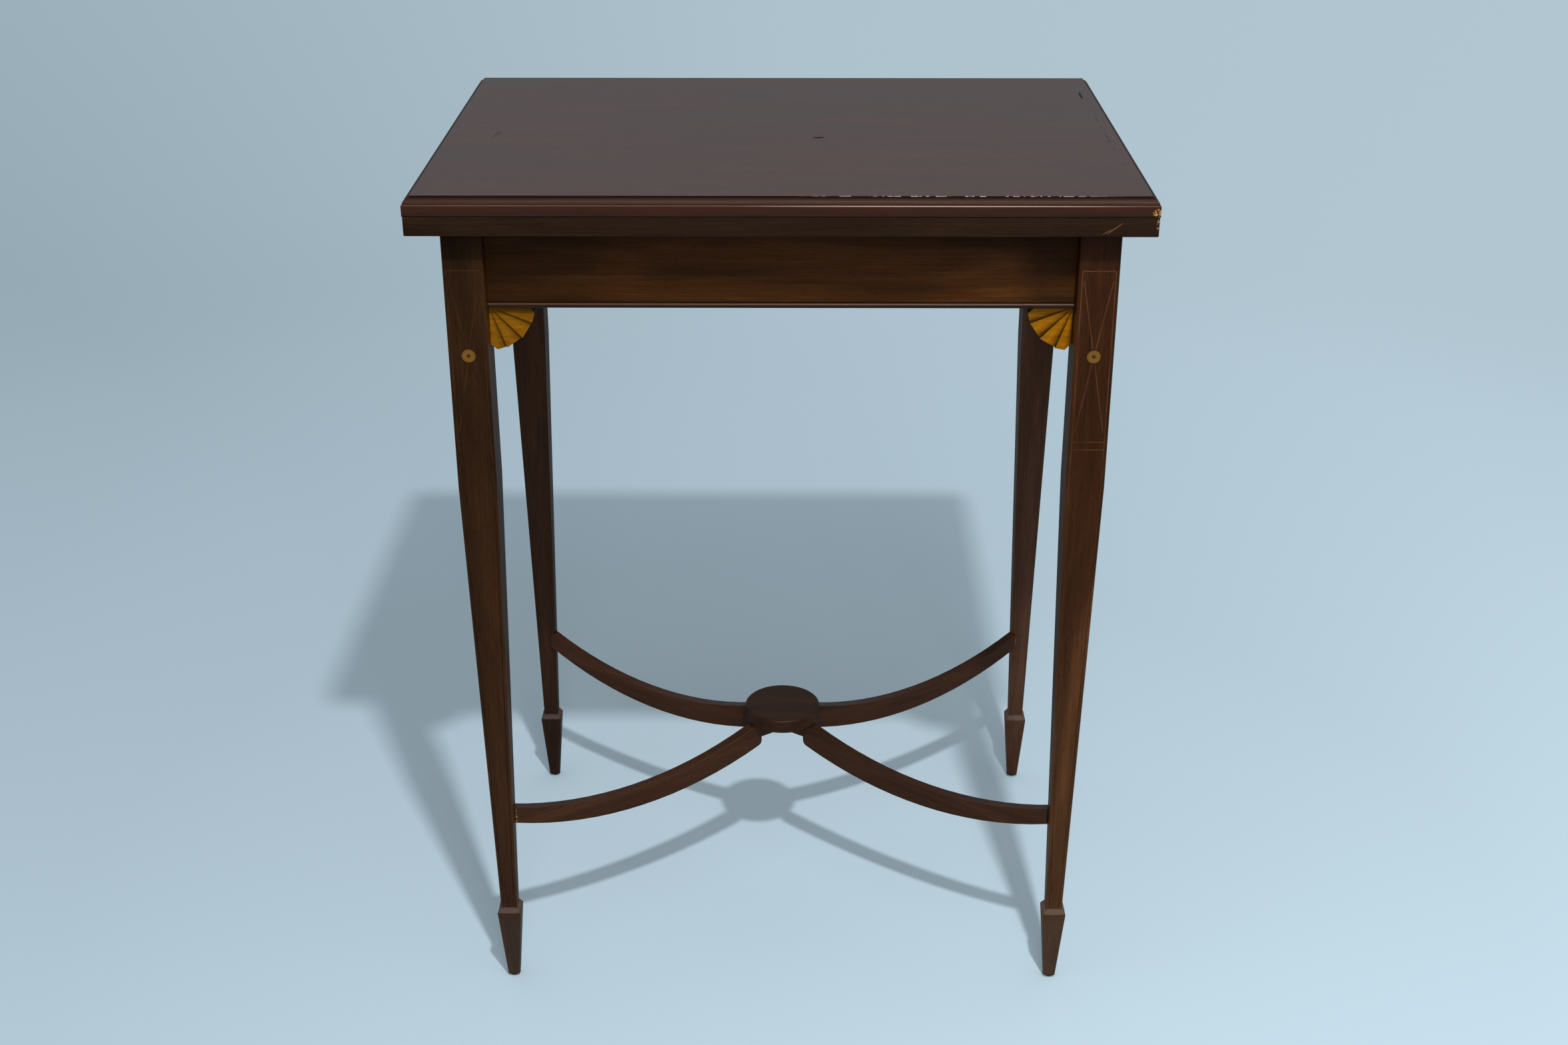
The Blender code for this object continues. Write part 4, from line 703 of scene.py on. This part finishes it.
# Floor. The table stands on a sheet of matt pale blue paper, with painted shade making it a little
# darker at the left and painted light making it paler away from the table. Far out the paper turns
# into a backdrop of its own light, seen by the camera alone, with painted shade darker at the left,
# and in the table's polish the paper is painted darker in front than behind, a painted reflection.
PAPER_BLUE = "#AEC2CD"
floor = new_mesh_object(bpy.ops.mesh.primitive_circle_add, vertices=96, radius=14.0, fill_type="NGON")
paper, tree, shader = new_material("pale_blue_paper")
path = add_node(tree, "ShaderNodeLightPath")
place = add_node(tree, "ShaderNodeTexCoord").outputs["Object"]
reach = add_node(tree, "ShaderNodeVectorMath", {0: place}, operation="LENGTH").outputs["Value"]
separate = add_node(tree, "ShaderNodeSeparateXYZ", {"Vector": place})
sideways = separate.outputs["X"]
backwards = separate.outputs["Y"]
# Darker at the left, a painted shade.
nearby = add_node(tree, "ShaderNodeMapRange", {"Value": sideways, "From Min": -1.0, "From Max": 1.0})
tone = add_node(tree, "ShaderNodeValToRGB", {"Fac": nearby.outputs["Result"]},
                ((0.0, PAPER_BLUE), (1.0, "#C4DAE5")))
# Paler away from the table, painted light; in the polish, darker in front, a painted reflection.
painted_far_light = add_node(tree, "ShaderNodeMapRange", {"Value": reach, "From Min": 0.7, "From Max": 1.7,
                                                "To Min": 1.0, "To Max": 1.22})
behind = add_node(tree, "ShaderNodeMapRange", {"Value": backwards, "From Min": -0.80, "From Max": -0.20,
                                               "To Min": 0.06, "To Max": 0.36})
mirrored = add_node(tree, "ShaderNodeMix", {"Factor": path.outputs["Is Glossy Ray"],
                                            "A": painted_far_light.outputs["Result"], "B": behind.outputs["Result"]})
colour = add_node(tree, "ShaderNodeVectorMath", {0: tone.outputs["Color"],
                                                 "Scale": mirrored.outputs["Result"]}, operation="SCALE")
tree.links.new(colour.outputs["Vector"], shader.inputs["Base Color"])
shader.inputs["Roughness"].default_value = 0.9
shader.inputs["Specular IOR Level"].default_value = 0.1
# The backdrop is darker at the left, a painted shade.
bearing = add_node(tree, "ShaderNodeMath", {0: sideways, 1: reach}, operation="DIVIDE")
spread = add_node(tree, "ShaderNodeMapRange", {"Value": bearing.outputs["Value"], "From Min": -0.6,
                                               "From Max": 0.5})
backdrop = add_node(tree, "ShaderNodeValToRGB", {"Fac": spread.outputs["Result"]},
                    ((0.0, "#96AAB5"), (1.0, "#B2C6D1"), (0.55, PAPER_BLUE)))
distant = add_node(tree, "ShaderNodeMapRange", {"Value": reach, "From Min": 5.6, "From Max": 11.0},
                   interpolation_type="SMOOTHSTEP")
horizon = add_node(tree, "ShaderNodeMix", {"Factor": distant.outputs["Result"], 6: backdrop.outputs["Color"],
                                           7: linear(PAPER_BLUE)}, data_type="RGBA")
glow = add_node(tree, "ShaderNodeEmission", {"Color": horizon.outputs[2]})
far = add_node(tree, "ShaderNodeMapRange", {"Value": reach, "From Min": 0.9, "From Max": 2.6},
               interpolation_type="SMOOTHSTEP")
near = add_node(tree, "ShaderNodeMapRange", {"Value": backwards, "From Min": -0.35, "From Max": -1.0},
                interpolation_type="SMOOTHSTEP")
faint = add_node(tree, "ShaderNodeMath", {0: far.outputs["Result"], 1: near.outputs["Result"]},
                 operation="MAXIMUM")
seen = add_node(tree, "ShaderNodeMath", {0: faint.outputs["Value"], 1: path.outputs["Is Camera Ray"]},
                operation="MULTIPLY")
surface = add_node(tree, "ShaderNodeMixShader", {0: seen.outputs["Value"], 1: shader.outputs["BSDF"],
                                                 2: glow.outputs["Emission"]})
output = next(node for node in tree.nodes if node.type == "OUTPUT_MATERIAL")
tree.links.new(surface.outputs["Shader"], output.inputs["Surface"])
floor.name = "paper_floor"
floor.data.materials.append(paper)


# Lamps. A small key lamp stands high in front and a little to the right and throws the shadow, and
# a broad soft one lower down fills the fronts without showing in the polish.
def hang_lamp(name, shape, size, energy, place, aim):
    """Hangs an area lamp at a place and turns it to a point."""
    data = bpy.data.lights.new(name, "AREA")
    data.shape = shape
    data.size = size
    data.energy = energy
    lamp = bpy.data.objects.new(name, data)
    bpy.context.scene.collection.objects.link(lamp)
    lamp.location = place
    lamp.rotation_euler = (aim - place).to_track_quat("-Z", "Y").to_euler()
    return lamp


hang_lamp("key_lamp", "DISK", 0.12, 56.0, Vector((0.38, -1.72, 2.76)), Vector((0.0, 0.0, 0.3)))
soft_lamp = hang_lamp("soft_lamp", "SQUARE", 1.1, 29.0, Vector((0.25, -2.65, 1.15)), Vector((0.0, 0.0, 0.45)))
soft_lamp.visible_glossy = False

# The room. Plain pale walls give the rest of the light. The polish mirrors them dim in front and
# brighter behind and low down, and the camera sees the paper's blue.
world = bpy.data.worlds.new("room")
bpy.context.scene.world = world
world.use_nodes = True
tree = world.node_tree
tree.nodes.clear()
path = add_node(tree, "ShaderNodeLightPath")
direction = add_node(tree, "ShaderNodeTexCoord").outputs["Generated"]
towards = add_node(tree, "ShaderNodeSeparateXYZ", {"Vector": direction})
depth = add_node(tree, "ShaderNodeMapRange", {"Value": towards.outputs["Y"], "From Min": -0.2,
                                              "From Max": 0.5})
rise = add_node(tree, "ShaderNodeMapRange", {"Value": towards.outputs["Z"], "From Min": 0.25,
                                             "From Max": 0.65, "To Min": 1.0, "To Max": 0.15})
lit = add_node(tree, "ShaderNodeMath", {0: depth.outputs["Result"], 1: rise.outputs["Result"]},
               operation="MULTIPLY")
around = add_node(tree, "ShaderNodeValToRGB", {"Fac": lit.outputs["Value"]},
                  ((0.0, "#34383C"), (1.0, "#9BA9B3")))
walls = add_node(tree, "ShaderNodeBackground", {"Color": linear("#E2E6EA"), "Strength": 0.62})
mirrored = add_node(tree, "ShaderNodeBackground", {"Color": around.outputs["Color"], "Strength": 1.0})
seen = add_node(tree, "ShaderNodeBackground", {"Color": linear(PAPER_BLUE), "Strength": 1.0})
unlit = add_node(tree, "ShaderNodeMixShader", {0: path.outputs["Is Glossy Ray"],
                                               1: walls.outputs["Background"],
                                               2: mirrored.outputs["Background"]})
mixed = add_node(tree, "ShaderNodeMixShader", {0: path.outputs["Is Camera Ray"], 1: unlit.outputs["Shader"],
                                               2: seen.outputs["Background"]})
add_node(tree, "ShaderNodeOutputWorld", {"Surface": mixed.outputs["Shader"]})

# The camera stands 1.66 m in front of the table's middle and 1.15 m up, and looks down on it
# through a moderately long lens.
CAMERA_PLACE = Vector((0.0090, -1.6620, 1.1490))
CAMERA_TURN = 0.0045
CAMERA_DIP = 24.88
camera = bpy.data.cameras.new("camera")
camera.sensor_width = 36.0
camera.lens = 45.70
camera.clip_start = 0.05
camera_object = bpy.data.objects.new("camera", camera)
bpy.context.scene.collection.objects.link(camera_object)
camera_object.matrix_world = (Matrix.Translation(CAMERA_PLACE) @ Matrix.Rotation(CAMERA_TURN, 4, "Z")
                              @ Matrix.Rotation(radians(90 - CAMERA_DIP), 4, "X"))
bpy.context.scene.camera = camera_object
bpy.context.scene.view_settings.view_transform = "Standard"
